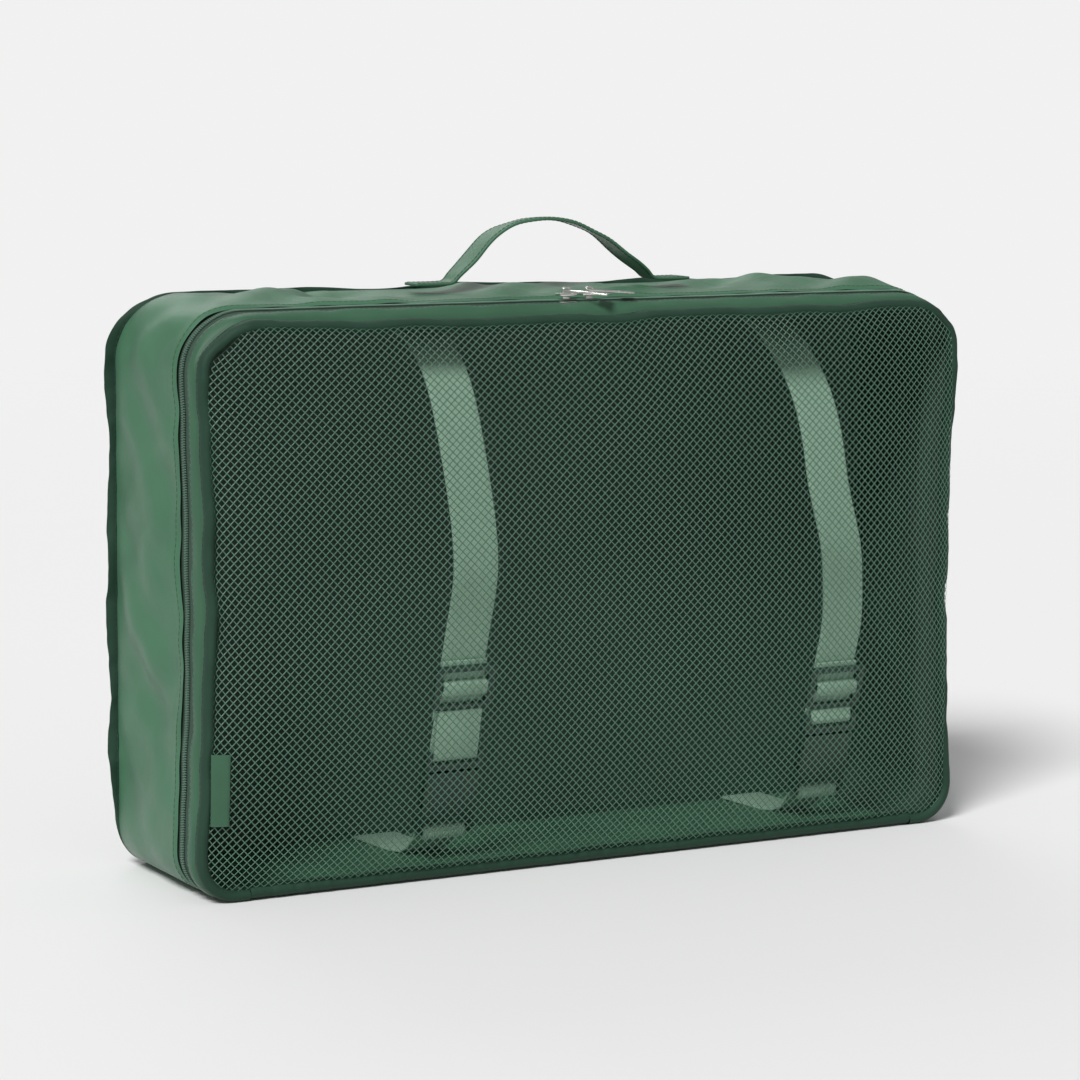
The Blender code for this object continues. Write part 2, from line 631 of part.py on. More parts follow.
def build_male(side, frame):
    """The buckle's plug: a shoulder with the webbing bar above it and a guide tongue below."""
    look = material("buckle_plastic", BUCKLE_GREEN, 0.4)
    y = -BUCKLE_OFFSET
    plug = pivot("buckle_%s_release" % side, (0.0, 0.0, 0.0), parent=frame)
    outline = [
        (-0.0160, 0.0440), (-0.0020, 0.0440), (-0.0016, 0.0340), (0.0016, 0.0340), (0.0020, 0.0440),
        (0.0160, 0.0440), (0.0160, 0.0525), (0.0150, 0.0535), (-0.0150, 0.0535), (-0.0160, 0.0525)]
    shoulder = local_prism(outline, y - 0.0035, y + 0.0035)
    cuts = [
        block((-RAIL_INNER, y - 0.0100, 0.0478), (RAIL_INNER, y + 0.0100, 0.0600)),
        block((-0.0200, y - 0.0100, 0.0300), (0.0200, y - 0.0020, 0.0438)),
        block((-0.0200, y + 0.0020, 0.0300), (0.0200, y + 0.0100, 0.0438)),
    ]
    carved = combine(shoulder, cuts, look, "DIFFERENCE")
    finish("buckle_plug_%s" % side, combine(carved, [bar(UPPER_BAR)], look), look, plug)

    # The doubled band of webbing from the bar up to the adjuster.
    adjuster = STRAPS[side]["adjuster"]
    front_top = (BUCKLE_OFFSET + 0.0002, adjuster - ADJUSTER_HALF_HEIGHT - 0.0008)
    back_top = (BUCKLE_OFFSET - BAR_TURN, adjuster + ADJUSTER_HALF_HEIGHT + 0.0020)
    loop = [front_top] + bar_loop(UPPER_BAR, 180) + [back_top]
    route = [(-out, up) for out, up in loop]
    band = webbing([(0.0, y_at, z_at) for y_at, z_at in route], WEB_WIDTH, WEB_THICKNESS)
    finish("strap_band_%s" % side, band, material("webbing", WEB_GREEN, 0.6), plug)

    for sign, name in ((-1, "a"), (1, "b")):
        build_arm(side, name, sign, plug)
    return plug


def build_arm(side, name, sign, plug):
    """One springy side arm. Its outer edge swells to a catch, along the curve that the arm's
    inward swing needs as the plug is drawn out."""
    look = material("buckle_plastic", BUCKLE_GREEN, 0.4)
    top = 0.0437
    edge = 0.0126
    ramp_start = 0.0094
    apex = 0.0170
    rate = 0.8 * ARM_RATE
    shoulder = top - 0.0002
    profile = [(edge - 0.0026, shoulder), (edge, shoulder)]
    for k in range(5):
        down = ramp_start + (apex - ramp_start) * k / 4
        profile.append((edge + rate * (down - ramp_start) * down, top - down))
    profile += [(edge - 0.0004, top - 0.0215), (edge - 0.0030, top - 0.0235), (edge - 0.0044, top - 0.0225)]
    profile += [(edge - 0.0030, top - 0.0150)]
    outline = [(sign * a, b) for a, b in profile]
    hinge = pivot("buckle_%s_arm_%s" % (side, name), (sign * (edge - 0.0013), -BUCKLE_OFFSET, top), parent=plug)
    shape = prism(
        outline,
        lambda a, b, t: (a - sign * (edge - 0.0013), t, b - top), -0.0020, 0.0020)
    finish("buckle_arm_%s_%s" % (side, name), shape, look, hinge)


def build_adjuster(side, plug):
    """A tri-glide: a frame with two slots, and the webbing that turns over its centre bar."""
    look = material("buckle_plastic", BUCKLE_GREEN, 0.4)
    ride = pivot("adjuster_%s_slide" % side, (0.0, 0.0, 0.0), parent=plug)
    z = STRAPS[side]["adjuster"]
    wide, high = ADJUSTER_HALF_WIDTH, ADJUSTER_HALF_HEIGHT
    eased_wide, eased_high = wide - ADJUSTER_CORNER, high - ADJUSTER_CORNER
    outer = [
        (-wide, z - eased_high), (-eased_wide, z - high), (eased_wide, z - high), (wide, z - eased_high),
        (wide, z + eased_high), (eased_wide, z + high), (-eased_wide, z + high), (-wide, z + eased_high)]
    slots = [
        block((-RAIL_INNER, -0.02, z + ADJUSTER_BAR_HALF), (RAIL_INNER, 0.0, z + ADJUSTER_SLOT_END)),
        block((-RAIL_INNER, -0.02, z - ADJUSTER_SLOT_END), (RAIL_INNER, 0.0, z - ADJUSTER_BAR_HALF)),
    ]
    frame = combine(local_prism(outer, ADJUSTER_FRONT, ADJUSTER_BACK), slots, look, "DIFFERENCE")
    finish("adjuster_frame_%s" % side, frame, look, ride)

    over = ADJUSTER_FRONT - GAP
    out = over - WEB_THICKNESS
    inner = ADJUSTER_BAR_HALF + GAP
    reach = inner + WEB_THICKNESS
    tuck = ADJUSTER_BACK + 0.0002
    profile = [
        (tuck, z + inner), (over, z + inner), (over, z - inner), (tuck, z - inner),
        (tuck, z - reach), (out + 0.0006, z - reach), (out, z - reach + 0.0010),
        (out, z + reach - 0.0010), (out + 0.0006, z + reach), (tuck, z + reach)]
    turn = prism(profile, lambda a, b, t: (t, a, b), -WEB_WIDTH / 2, WEB_WIDTH / 2)
    finish("adjuster_webbing_%s" % side, turn, material("webbing", WEB_GREEN, 0.6), ride)


# ---------------------------------------------------------------- assembly
def build():
    for item in list(bpy.data.objects):
        bpy.data.objects.remove(item, do_unlink=True)
    lid = pivot("lid_hinge", (0.0, FRONT_Y, BINDING_HALF_HEIGHT + 0.0005))
    bpy.context.view_layer.update()
    build_tray()
    build_zip(lid)
    build_lid(lid)
    build_handle()
    for side in ("left", "right"):
        build_tab(side, build_slider(side))
        build_strap_runs(side)
        frame = pivot("strap_line_" + side, (STRAPS[side]["x"], *LINE_BOTTOM), tilt=line_tilt())
        build_female(side, frame)
        build_adjuster(side, build_male(side, frame))


build()
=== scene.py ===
# %% [markdown]
# # A laundry bag with a netting lid
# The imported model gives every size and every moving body. This script dresses it: satin walls that
# were cut flat and sewn round, open netting, a coil zip with real teeth, woven straps and moulded
# buckles. We start with the tools and the bag's frame.

# %% Load the frame
import math

import bpy
import numpy as np
from mathutils import Matrix, Vector


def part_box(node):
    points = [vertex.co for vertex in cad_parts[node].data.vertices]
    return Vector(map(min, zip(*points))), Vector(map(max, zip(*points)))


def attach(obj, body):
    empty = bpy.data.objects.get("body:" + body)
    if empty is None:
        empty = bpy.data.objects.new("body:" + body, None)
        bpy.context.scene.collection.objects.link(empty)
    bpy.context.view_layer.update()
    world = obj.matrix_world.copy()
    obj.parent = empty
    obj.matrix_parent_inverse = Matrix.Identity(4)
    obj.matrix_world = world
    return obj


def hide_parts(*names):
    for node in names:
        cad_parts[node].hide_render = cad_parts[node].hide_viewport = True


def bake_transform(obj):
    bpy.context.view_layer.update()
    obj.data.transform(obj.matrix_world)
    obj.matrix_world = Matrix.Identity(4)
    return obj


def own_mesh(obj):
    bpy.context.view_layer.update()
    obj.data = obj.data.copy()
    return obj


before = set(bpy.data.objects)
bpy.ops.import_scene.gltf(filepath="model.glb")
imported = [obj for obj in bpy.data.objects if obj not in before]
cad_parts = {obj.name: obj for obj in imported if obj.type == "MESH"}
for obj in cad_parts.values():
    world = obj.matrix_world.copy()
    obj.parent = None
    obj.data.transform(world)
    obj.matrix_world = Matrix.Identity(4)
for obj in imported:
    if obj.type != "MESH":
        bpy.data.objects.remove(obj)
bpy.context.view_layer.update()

MM = 0.001

# %% [markdown]
# ## The outline that everything is sewn to
# A bag like this is strips of cloth sewn round one rounded rectangle. If we can say where any
# length round that rectangle lies, every strip, seam and stitch can be cut flat and carried there.
# The driving sizes come from the frame, so the looks follow the model.

# %% Sizes
wall_low, wall_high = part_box("side_gusset")
tube_low, tube_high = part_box("front_binding")
flange_low, flange_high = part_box("back_binding")
HALF_W = wall_high[0]
HEIGHT = wall_high[2]
BACK_Y = wall_high[1]
WALL_EDGE = wall_low[1]
SEAM_Y = (tube_low[1] + tube_high[1]) / 2
ZIP_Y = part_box("zip_coil_tray")[0][1] - 0.5 * MM
TOP_RADIUS = 32 * MM
BOTTOM_RADIUS = 22 * MM
ZIP_TAIL = 6 * MM
FLOOR_GAP = 0.3 * MM
ZIP_STEPS = 640
CLOTH_THICKNESS = 0.5 * MM
print("bag", round(2 * HALF_W, 3), "by", round(HEIGHT, 3), "zip at y", round(ZIP_Y, 4))


# %% The outline by length
def outline_segments():
    """Straights and arcs, clockwise seen from the front, from the middle of the bottom."""
    low, high = BOTTOM_RADIUS, TOP_RADIUS
    quarter = math.pi / 2
    side = HEIGHT - low - high
    return [
        ("line", HALF_W - low, (0.0, 0.0), (-1, 0), (0, -1)),
        ("arc", low * quarter, (-HALF_W + low, low), low, 270),
        ("line", side, (-HALF_W, low), (0, 1), (-1, 0)),
        ("arc", high * quarter, (-HALF_W + high, HEIGHT - high), high, 180),
        ("line", 2 * (HALF_W - high), (-HALF_W + high, HEIGHT), (1, 0), (0, 1)),
        ("arc", high * quarter, (HALF_W - high, HEIGHT - high), high, 90),
        ("line", side, (HALF_W, HEIGHT - high), (0, -1), (1, 0)),
        ("arc", low * quarter, (HALF_W - low, low), low, 0),
        ("line", HALF_W - low, (HALF_W - low, 0.0), (-1, 0), (0, -1)),
    ]


SEGMENTS = outline_segments()
ROUND = sum(segment[1] for segment in SEGMENTS)
ZIP_START = HALF_W - BOTTOM_RADIUS - ZIP_TAIL
ZIP_LENGTH = ROUND - 2 * ZIP_START
TOP_MIDDLE = ROUND / 2
print("outline", round(ROUND, 3), "zip", round(ZIP_LENGTH, 3))


def outline(s):
    """x, z, outward normal x and z at lengths s round the outline."""
    s = np.mod(np.asarray(s, float), ROUND)
    x, z, nx, nz = (np.zeros_like(s) for _ in range(4))
    begin = 0.0
    for kind, length, place, a, b in SEGMENTS:
        here = (s >= begin) & (s <= begin + length + 1e-12)
        d = s[here] - begin
        if kind == "line":
            x[here] = place[0] + a[0] * d
            z[here] = place[1] + a[1] * d
            nx[here], nz[here] = b
        else:
            angle = np.radians(b) - d / a
            nx[here], nz[here] = np.cos(angle), np.sin(angle)
            x[here] = place[0] + a * nx[here]
            z[here] = place[1] + a * nz[here]
        begin += length
    return x, z, nx, nz


# %% [markdown]
# ## How limp cloth moves
# Nothing on a sewn bag is straight. A seam gathers the cloth into small puckers, and a stuffed wall
# swells and buckles in slow waves. Sums of a few sines with unrelated lengths never repeat visibly,
# cost nothing, and give the same bag every time. Every strip near the zip reads the same sway, so
# neighbours stay together. On the floor the waves fade out.

# %% Waves and puckers
def ripple(s, length, seed):
    """A smooth wander between about -1 and 1."""
    turn = 2 * np.pi * np.asarray(s) / length
    return (0.50 * np.sin(turn + 1.7 * seed) + 0.32 * np.sin(1.63 * turn + 2.9 * seed)
            + 0.22 * np.sin(0.57 * turn + 4.3 * seed))


def smooth(value, start, stop):
    """0 before start, 1 after stop, and an easy slope between."""
    t = np.clip((np.asarray(value) - start) / (stop - start), 0, 1)
    return t * t * (3 - 2 * t)


def off_floor(s):
    """0 on the bottom, 1 on the sides and top."""
    s = np.mod(s, ROUND)
    return smooth(np.minimum(s, ROUND - s), HALF_W - BOTTOM_RADIUS, HALF_W + 3 * BOTTOM_RADIUS)


def on_sides(s):
    """1 on the two sides, fading over the top, where the sliders run straight."""
    return 1 - 0.8 * (1 - smooth(np.abs(np.mod(s, ROUND) - TOP_MIDDLE), HALF_W - 0.04, HALF_W + 0.03))


def zip_sway(s):
    """How far the zip wanders forwards or back."""
    wander = 1.7 * MM * ripple(s, 0.16, 3) + 0.4 * MM * ripple(s, 0.043, 5)
    return off_floor(s) * on_sides(s) * wander


def bump(s, centre, half):
    """A soft hump: 1 at its centre, 0 beyond its half width."""
    t = np.clip(np.abs(s - centre) / half, 0, 1)
    return (1 - t * t) ** 2


LEFT_MIDDLE = HALF_W + HEIGHT / 2 - 5 * MM
RIGHT_MIDDLE = ROUND - LEFT_MIDDLE


def rim_sway(s):
    """How far the lid's border and the zip wander in or out. Both sides are drawn in halfway up."""
    s = np.mod(s, ROUND)
    drawn_in = -3.2 * MM * bump(s, LEFT_MIDDLE, 0.15) - 4.0 * MM * bump(s, RIGHT_MIDDLE, 0.13)
    wander = 0.9 * MM * ripple(s, 0.21, 8) + 0.3 * MM * ripple(s, 0.05, 2)
    return drawn_in + off_floor(s) * on_sides(s) * wander


def lean_in(s, y):
    """The rim slopes inwards from the wall's edge: a little to the zip, then more to the front seam."""
    top = smooth(outline(s)[3], 0.2, 0.9)
    to_zip = 1 - smooth(y, ZIP_Y - 1 * MM, WALL_EDGE + 14 * MM)
    to_seam = 1 - smooth(y, SEAM_Y - 3 * MM, ZIP_Y - 0.5 * MM)
    slope = (0.4 * MM + 1.0 * MM * top) * to_zip + (1.1 * MM + 3.5 * MM * top) * to_seam
    return -off_floor(s) * slope


def front_sag(s):
    """How far the front seam sags below the zip, where the netting pulls it down along the top."""
    s = np.mod(s, ROUND)
    top = 2.6 * MM * bump(s, TOP_MIDDLE - 0.05, 0.17) + 1.5 * MM * bump(s, TOP_MIDDLE + 0.12, 0.06)
    sides = 1.0 * MM * (bump(s, LEFT_MIDDLE + 0.02, 0.13) + bump(s, RIGHT_MIDDLE, 0.13))
    return -top - sides + off_floor(s) * 0.9 * MM * ripple(s, 0.075, 15)


def seam_shift(s):
    """Both of the front seam's own movements together."""
    return rim_sway(s) + front_sag(s)


# %% [markdown]
# ## Cutting and sewing
# Each strip starts as a grid primitive of its real cut size. Its own UV map is kept in metres, so a
# weave or a twill has the right scale on every piece. Then its points are carried to their place on
# the bag, and Solidify gives the cloth its thickness.

# %% Helpers for cloth
def pick_none():
    if bpy.context.object and bpy.context.object.mode != "OBJECT":
        bpy.ops.object.mode_set(mode="OBJECT")
    bpy.ops.object.select_all(action="DESELECT")


def pick(item):
    pick_none()
    item.select_set(True)
    bpy.context.view_layer.objects.active = item


def apply_modifier(item, kind, **settings):
    pick(item)
    made = item.modifiers.new(kind.title(), kind)
    for key, value in settings.items():
        setattr(made, key, value)
    bpy.ops.object.modifier_apply(modifier=made.name)


def thicken(cloth, thickness=CLOTH_THICKNESS):
    apply_modifier(cloth, "SOLIDIFY", thickness=thickness, offset=0.0)


def round_edges(item, width, segments=2, sharper_than=50):
    apply_modifier(item, "BEVEL", width=width, segments=segments, limit_method="ANGLE",
                   angle_limit=math.radians(sharper_than))


def read(rows, field, width):
    """One field of many mesh elements, a row for each."""
    values = np.empty(len(rows) * width)
    rows.foreach_get(field, values)
    return values.reshape(-1, width)


def cut_cloth(name, along, across, steps_along, steps_across):
    """A flat rectangle of cloth, along X, with a UV map in metres."""
    pick_none()
    bpy.ops.mesh.primitive_grid_add(x_subdivisions=steps_along, y_subdivisions=steps_across, size=1)
    cloth = bpy.context.object
    cloth.name = name
    cloth.scale = (along, across, 1)
    bpy.ops.object.transform_apply(location=False, rotation=False, scale=True)
    layer = cloth.data.uv_layers[0]
    layer.name = "cloth"
    flat = read(layer.data, "uv", 2) * (along, across)
    layer.data.foreach_set("uv", flat.ravel())
    return cloth


def points_of(item):
    return read(item.data.vertices, "co", 3)


def put_points(item, points):
    item.data.vertices.foreach_set("co", np.asarray(points, float).ravel())
    item.data.update()


def sew(cloth, place, along, across):
    """Carry each flat point (length, breadth) to place(length, breadth) on the bag."""
    flat = points_of(cloth)
    put_points(cloth, np.stack(place(flat[:, 0] + along / 2, flat[:, 1] + across / 2), axis=1))
    return cloth


def soften(item, angle=50):
    pick(item)
    bpy.ops.object.shade_smooth_by_angle(angle=math.radians(angle))


def turn_outwards(item, flatten=False):
    """Join points that meet, and turn every face outwards. Flat areas can become one face."""
    pick(item)
    bpy.ops.object.mode_set(mode="EDIT")
    bpy.ops.mesh.select_all(action="SELECT")
    bpy.ops.mesh.remove_doubles(threshold=1e-5)
    if flatten:
        bpy.ops.mesh.dissolve_limited(angle_limit=math.radians(1.0))
    bpy.ops.mesh.normals_make_consistent(inside=False)
    bpy.ops.object.mode_set(mode="OBJECT")


def lay_uv(item, uv):
    """A new UV map in metres, from a pair of numbers for each point."""
    while item.data.uv_layers:
        item.data.uv_layers.remove(item.data.uv_layers[0])
    layer = item.data.uv_layers.new(name="cloth")
    corners = np.empty(len(item.data.loops), int)
    item.data.loops.foreach_get("vertex_index", corners)
    layer.data.foreach_set("uv", uv[corners].ravel())


def band(name, start, length, profile, steps, shape, thickness=CLOTH_THICKNESS):
    """Cloth sewn round the outline. profile is the cut's section, (outward, y) points in order from
    its front edge; shape(s, outward, y) may move them. Returns the piece and its flat size."""
    section = np.array(profile)
    spans = np.hypot(*np.diff(section, axis=0).T)
    breadths = np.concatenate([[0], np.cumsum(spans)])
    across = breadths[-1]
    cloth = cut_cloth(name, length, across, steps[0], steps[1])

    def place(s, breadth):
        out = np.interp(breadth, breadths, section[:, 0])
        y = np.interp(breadth, breadths, section[:, 1])
        return on_outline(*shape(s + start, out, y))

    sew(cloth, place, length, across)
    if thickness:
        apply_modifier(cloth, "SOLIDIFY", thickness=thickness, offset=0.0, use_even_offset=True)
    soften(cloth)
    return cloth, (length, across)


def on_outline(s, out, y):
    """A place off the outline. What would go through the floor lies on it instead."""
    x, z, nx, nz = outline(s)
    return x + nx * out, y, np.maximum(z + nz * out, FLOOR_GAP)


def rounded(points, steps=6):
    """A section's corners eased with a Catmull-Rom curve."""
    points = [np.array(p, float) for p in points]
    ends = [points[0]] + points + [points[-1]]
    route = []
    for k in range(len(points) - 1):
        a, b, c, d = ends[k:k + 4]
        for step in range(steps):
            t = step / steps
            route.append(0.5 * (2 * b + (c - a) * t + (2 * a - 5 * b + 4 * c - d) * t ** 2
                                + (3 * b - a - 3 * c + d) * t ** 3))
    route.append(points[-1])
    return [tuple(p) for p in route]


# %% [markdown]
# ## Shader maths
# A wrapped socket lets a pattern be written as plain arithmetic. Every other node comes from one
# method. The patterns read the cloth's own UV map, in metres, or Object coordinates on hard parts.

# %% The socket class and the material builder
class Wire:
    """A socket that arithmetic can be written with."""

    def __init__(self, look, socket):
        self.look = look
        self.socket = socket

    def maths(self, operation, *values):
        return self.look.node("ShaderNodeMath", {"operation": operation}, dict(enumerate(values)))

    def __add__(self, other):
        return self.maths("ADD", self, other)

    def __sub__(self, other):
        return self.maths("SUBTRACT", self, other)

    def __rsub__(self, other):
        return self.maths("SUBTRACT", other, self)

    def __mul__(self, other):
        return self.maths("MULTIPLY", self, other)

    def wave(self):
        return self.maths("SINE", self)

    def above(self, limit):
        return self.maths("GREATER_THAN", self, limit)

    __radd__ = __add__
    __rmul__ = __mul__


class Look:
    """A Principled material that is built with Wires."""

    def __init__(self, name, colour, roughness, **constants):
        self.material = bpy.data.materials.new(name)
        self.material.use_nodes = True
        self.tree = self.material.node_tree
        self.shader = self.tree.nodes["Principled BSDF"]
        self.colour = colour
        self.set("Base Color", (*colour, 1))
        self.set("Roughness", roughness)
        for key, value in constants.items():
            self.set(key.replace("_", " ").title().replace("Ior", "IOR"), value)

    def set(self, socket, value):
        if isinstance(value, Wire):
            self.tree.links.new(value.socket, self.shader.inputs[socket])
        else:
            self.shader.inputs[socket].default_value = value

    def node(self, kind, settings=None, sockets=None, output=0):
        made = self.tree.nodes.new(kind)
        for key, value in (settings or {}).items():
            setattr(made, key, value)
        for key, value in (sockets or {}).items():
            if isinstance(value, Wire):
                self.tree.links.new(value.socket, made.inputs[key])
            else:
                made.inputs[key].default_value = value
        return Wire(self, made.outputs[output])

    def place(self, kind="UV"):
        return self.node("ShaderNodeTexCoord", output={"UV": 2, "Object": 3}[kind])

    def axes(self, place):
        split = self.node("ShaderNodeSeparateXYZ", None, {0: place})
        node = split.socket.node
        return [Wire(self, node.outputs[k]) for k in range(3)]

    def noise(self, place, scale, detail=3.0, roughness=0.5):
        return self.node("ShaderNodeTexNoise", None, {
            0: place, "Scale": scale, "Detail": detail, "Roughness": roughness})

    def mix(self, factor, first, second):
        sockets = {0: factor, 6: first, 7: second}
        return self.node("ShaderNodeMix", {"data_type": "RGBA"}, sockets, output=2)

    def shades(self, factor, low, high):
        """Between two strengths of the base colour."""
        return self.mix(factor, *((*(c * strength for c in self.colour), 1) for strength in (low, high)))

    def bump(self, height, distance, strength=1.0, under=None):
        sockets = {"Height": height, "Distance": distance, "Strength": strength}
        if under:
            sockets["Normal"] = under
        return self.node("ShaderNodeBump", None, sockets)


def spread(wire, low, high):
    """Stretch a noise around its middle to 0..1."""
    return wire.look.node("ShaderNodeMapRange", None, {0: wire, 1: low, 2: high})


# %% [markdown]
# ## The finishes
# Satin nylon shines because its threads float over each other: a low roughness, a little sheen and a
# very fine twill. Binding tape and zip tape are duller; the inner side, the lid's border and the binding
# are the satin painted darker, as painted shade. Webbing is a coarse weave of ribs that lean one way and
# then the other, painted lighter than its own colour. The buckles are moulded acetal, and the sliders
# are plated.

# %% Cloth finishes
def weave_bump(look, pitch, depth, lean=0.0, under=None):
    """Threads that cross at the given pitch, on the cloth's own UV map."""
    u, v, _ = look.axes(look.place())
    turn = 2 * math.pi / pitch
    over = ((u + v * lean) * turn).wave()
    across = ((v - u * lean) * turn).wave()
    return look.bump(over * across, depth, 0.6, under)


def satin(name, colour, roughness=0.40, shine=0.42):
    look = Look(name, colour, roughness, sheen_weight=0.03, sheen_roughness=0.4,
                specular_ior_level=shine)
    place = look.place()
    cloud = spread(look.noise(place, 22.0, 4.0), 0.35, 0.65)
    look.set("Base Color", look.shades(cloud, 0.93, 1.06))
    look.set("Roughness", roughness - 0.04 + 0.08 * cloud)
    slack = look.bump(look.noise(place, 34.0, 2.0), 2.2 * MM, 0.45)
    crease = look.bump(look.noise(place, 130.0, 3.0), 0.35 * MM, 0.4, slack)
    look.set("Normal", weave_bump(look, 0.55 * MM, 0.03 * MM, 1.0, crease))
    return look.material


SATIN = satin("satin nylon", (0.055, 0.154, 0.086), 0.37, 0.36)
# Painted shade: the satin's inner side is painted darker and duller, for the shade inside the bag.
INSIDE_PAINTED_SHADE = satin("inside with painted shade", (0.022, 0.056, 0.036), 0.62)
# Painted shade: the lid's border and the blank tab are the same satin, painted darker for the shade at
# the bag's front.
SATIN_PAINTED_SHADE = satin("satin with painted shade", (0.041, 0.115, 0.065), 0.42, 0.30)
# Painted shade: the binding is the same satin, painted much darker for the shade along the seams.
BINDING_PAINTED_SHADE = satin("binding tape with painted shade", (0.020, 0.052, 0.033), 0.52, 0.14)


TWILL_PITCH = 1.1 * MM
LANE_PITCH = 5.0 * MM
RIB_PITCH = 1.6 * MM


def twill(name, colour):
    look = Look(name, colour, 0.72, sheen_weight=0.05)
    u, v, _ = look.axes(look.place())
    rib = ((u + v) * (2 * math.pi / TWILL_PITCH)).wave() * 0.5 + 0.5
    look.set("Base Color", look.shades(rib, 0.72, 1.12))
    look.set("Normal", look.bump(rib, 0.12 * MM, 0.8))
    return look.material


ZIP_TAPE = twill("zip tape twill", (0.030, 0.070, 0.046))


def ribbed_webbing():
    """Ribs that lean one way in one lane and the other way in the next."""
    # Its pale green is partly its own colour and partly painted light: it is made lighter for the light
    # it catches behind the netting.
    look = Look("woven webbing", (0.340, 0.530, 0.390), 0.55, sheen_weight=0.1)
    u, v, _ = look.axes(look.place())
    lane = (v * (2 * math.pi / LANE_PITCH)).wave().above(0.0) * 2 - 1
    rib = ((u + v * lane) * (2 * math.pi / RIB_PITCH)).wave() * 0.5 + 0.5
    fuzz = spread(look.noise(look.place(), 900.0, 2.0), 0.3, 0.7)
    look.set("Base Color", look.shades(rib * 0.7 + fuzz * 0.3, 0.74, 1.14))
    look.set("Roughness", 0.62 - 0.14 * rib)
    look.set("Normal", look.bump(rib, 0.22 * MM, 0.8, look.bump(fuzz, 0.05 * MM, 0.5)))
    return look.material


WEBBING_PAINTED_LIGHT = ribbed_webbing()


def thread(name, colour, roughness=0.5):
    look = Look(name, colour, roughness, sheen_weight=0.05)
    place = look.place("Object")
    twist = spread(look.noise(place, 1500.0, 2.0), 0.35, 0.65)
    look.set("Base Color", look.shades(twist, 0.80, 1.15))
    look.set("Normal", look.bump(twist, 0.05 * MM, 0.6))
    return look.material


NET_THREAD = thread("netting thread", (0.070, 0.158, 0.106), 0.42)
SEWING_THREAD = thread("sewing thread", (0.020, 0.046, 0.031), 0.6)
COIL_NYLON = thread("zip coil nylon", (0.085, 0.178, 0.122), 0.30)


# %% Hard finishes
def moulded_plastic():
    look = Look("moulded acetal", (0.016, 0.042, 0.030), 0.34)
    place = look.place("Object")
    grain = look.noise(place, 2600.0, 2.0)
    flow = spread(look.noise(place, 160.0, 3.0), 0.3, 0.7)
    look.set("Base Color", look.shades(flow, 0.85, 1.2))
    look.set("Roughness", 0.30 + 0.14 * flow)
    look.set("Normal", look.bump(grain, 0.03 * MM, 0.5))
    return look.material


def plated_metal():
    look = Look("plated die cast", (0.86, 0.84, 0.81), 0.2, metallic=1.0)
    place = look.place("Object")
    cloud = spread(look.noise(place, 420.0, 4.0), 0.3, 0.7)
    drawn_out = look.node("ShaderNodeMapping", None, {0: place, "Scale": (1.0, 14.0, 14.0)})
    scratch = look.noise(drawn_out, 700.0, 2.0)
    look.set("Base Color", look.shades(cloud, 0.90, 1.0))
    look.set("Roughness", 0.13 + 0.16 * cloud)
    look.set("Normal", look.bump(scratch, 0.02 * MM, 0.35))
    return look.material


PLASTIC = moulded_plastic()
METAL = plated_metal()


def dress(item, material, body, replaced=()):
    """Give a finished piece its material, its body and the nodes that it stands for.
    A piece given no body is left without a parent."""
    item.data.materials.clear()
    item.data.materials.append(material)
    if body:
        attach(item, body)
    if replaced:
        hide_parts(*replaced)
    return item


# %% [markdown]
# ## Camera, light and floor
# A long lens from the left, a little above the bag, keeps its uprights nearly straight. A soft sun
# from the upper left gives the satin its slow highlights and lays the shadow to the right. A weaker
# and wider one from behind lights the top, and an even surround keeps the shadows pale.

# %% Camera and stage
def aim(item, place, target, roll=0.0):
    item.location = place
    direction = Vector(target) - Vector(place)
    turned = direction.to_track_quat("-Z", "Y").to_matrix() @ Matrix.Rotation(math.radians(roll), 3, "Z")
    item.rotation_euler = turned.to_euler()


pick_none()
bpy.ops.object.camera_add()
camera = bpy.context.object
CAMERA_PLACE = (-0.9115, -1.6316, 0.4188)
YAW, PITCH, ROLL = math.radians(28.88), math.radians(-7.78), 0.47
LENS = 119.8
ahead = Vector((math.sin(YAW) * math.cos(PITCH), math.cos(YAW) * math.cos(PITCH), math.sin(PITCH)))
aim(camera, CAMERA_PLACE, Vector(CAMERA_PLACE) + ahead, ROLL)
camera.data.lens = LENS
bpy.context.scene.camera = camera
bpy.context.scene.view_settings.view_transform = "Standard"


def floor_material():
    """A pale floor that fades out far from the bag, so that no horizon shows."""
    look = Look("pale floor", (0.79, 0.79, 0.79), 0.9)
    place = look.place("Object")
    far = look.node("ShaderNodeVectorMath", {"operation": "LENGTH"}, {0: place}, output=1)
    look.set("Base Color", look.shades(look.noise(place, 2.0), 0.995, 1.005))
    look.set("Alpha", 1 - spread(far, 1.4, 3.2))
    return look.material


pick_none()
bpy.ops.mesh.primitive_plane_add(size=8, location=(0, 0, 0))
floor = bpy.context.object
floor.name = "floor"
floor.data.materials.append(floor_material())


def sky(level, seen):
    """An even surround: one level lights the bag, and a paler one is what shows behind it."""
    world = bpy.data.worlds.new("surround")
    bpy.context.scene.world = world
    world.use_nodes = True
    tree = world.node_tree
    shown = tree.nodes.new("ShaderNodeBackground")
    either = tree.nodes.new("ShaderNodeMixShader")
    path = tree.nodes.new("ShaderNodeLightPath")
    tree.links.new(path.outputs["Is Camera Ray"], either.inputs[0])
    for slot, part, strength in ((1, tree.nodes["Background"], level), (2, shown, seen)):
        part.inputs["Color"].default_value = (1, 1, 1, 1)
        part.inputs["Strength"].default_value = strength
        tree.links.new(part.outputs[0], either.inputs[slot])
    tree.links.new(either.outputs[0], tree.nodes["World Output"].inputs[0])


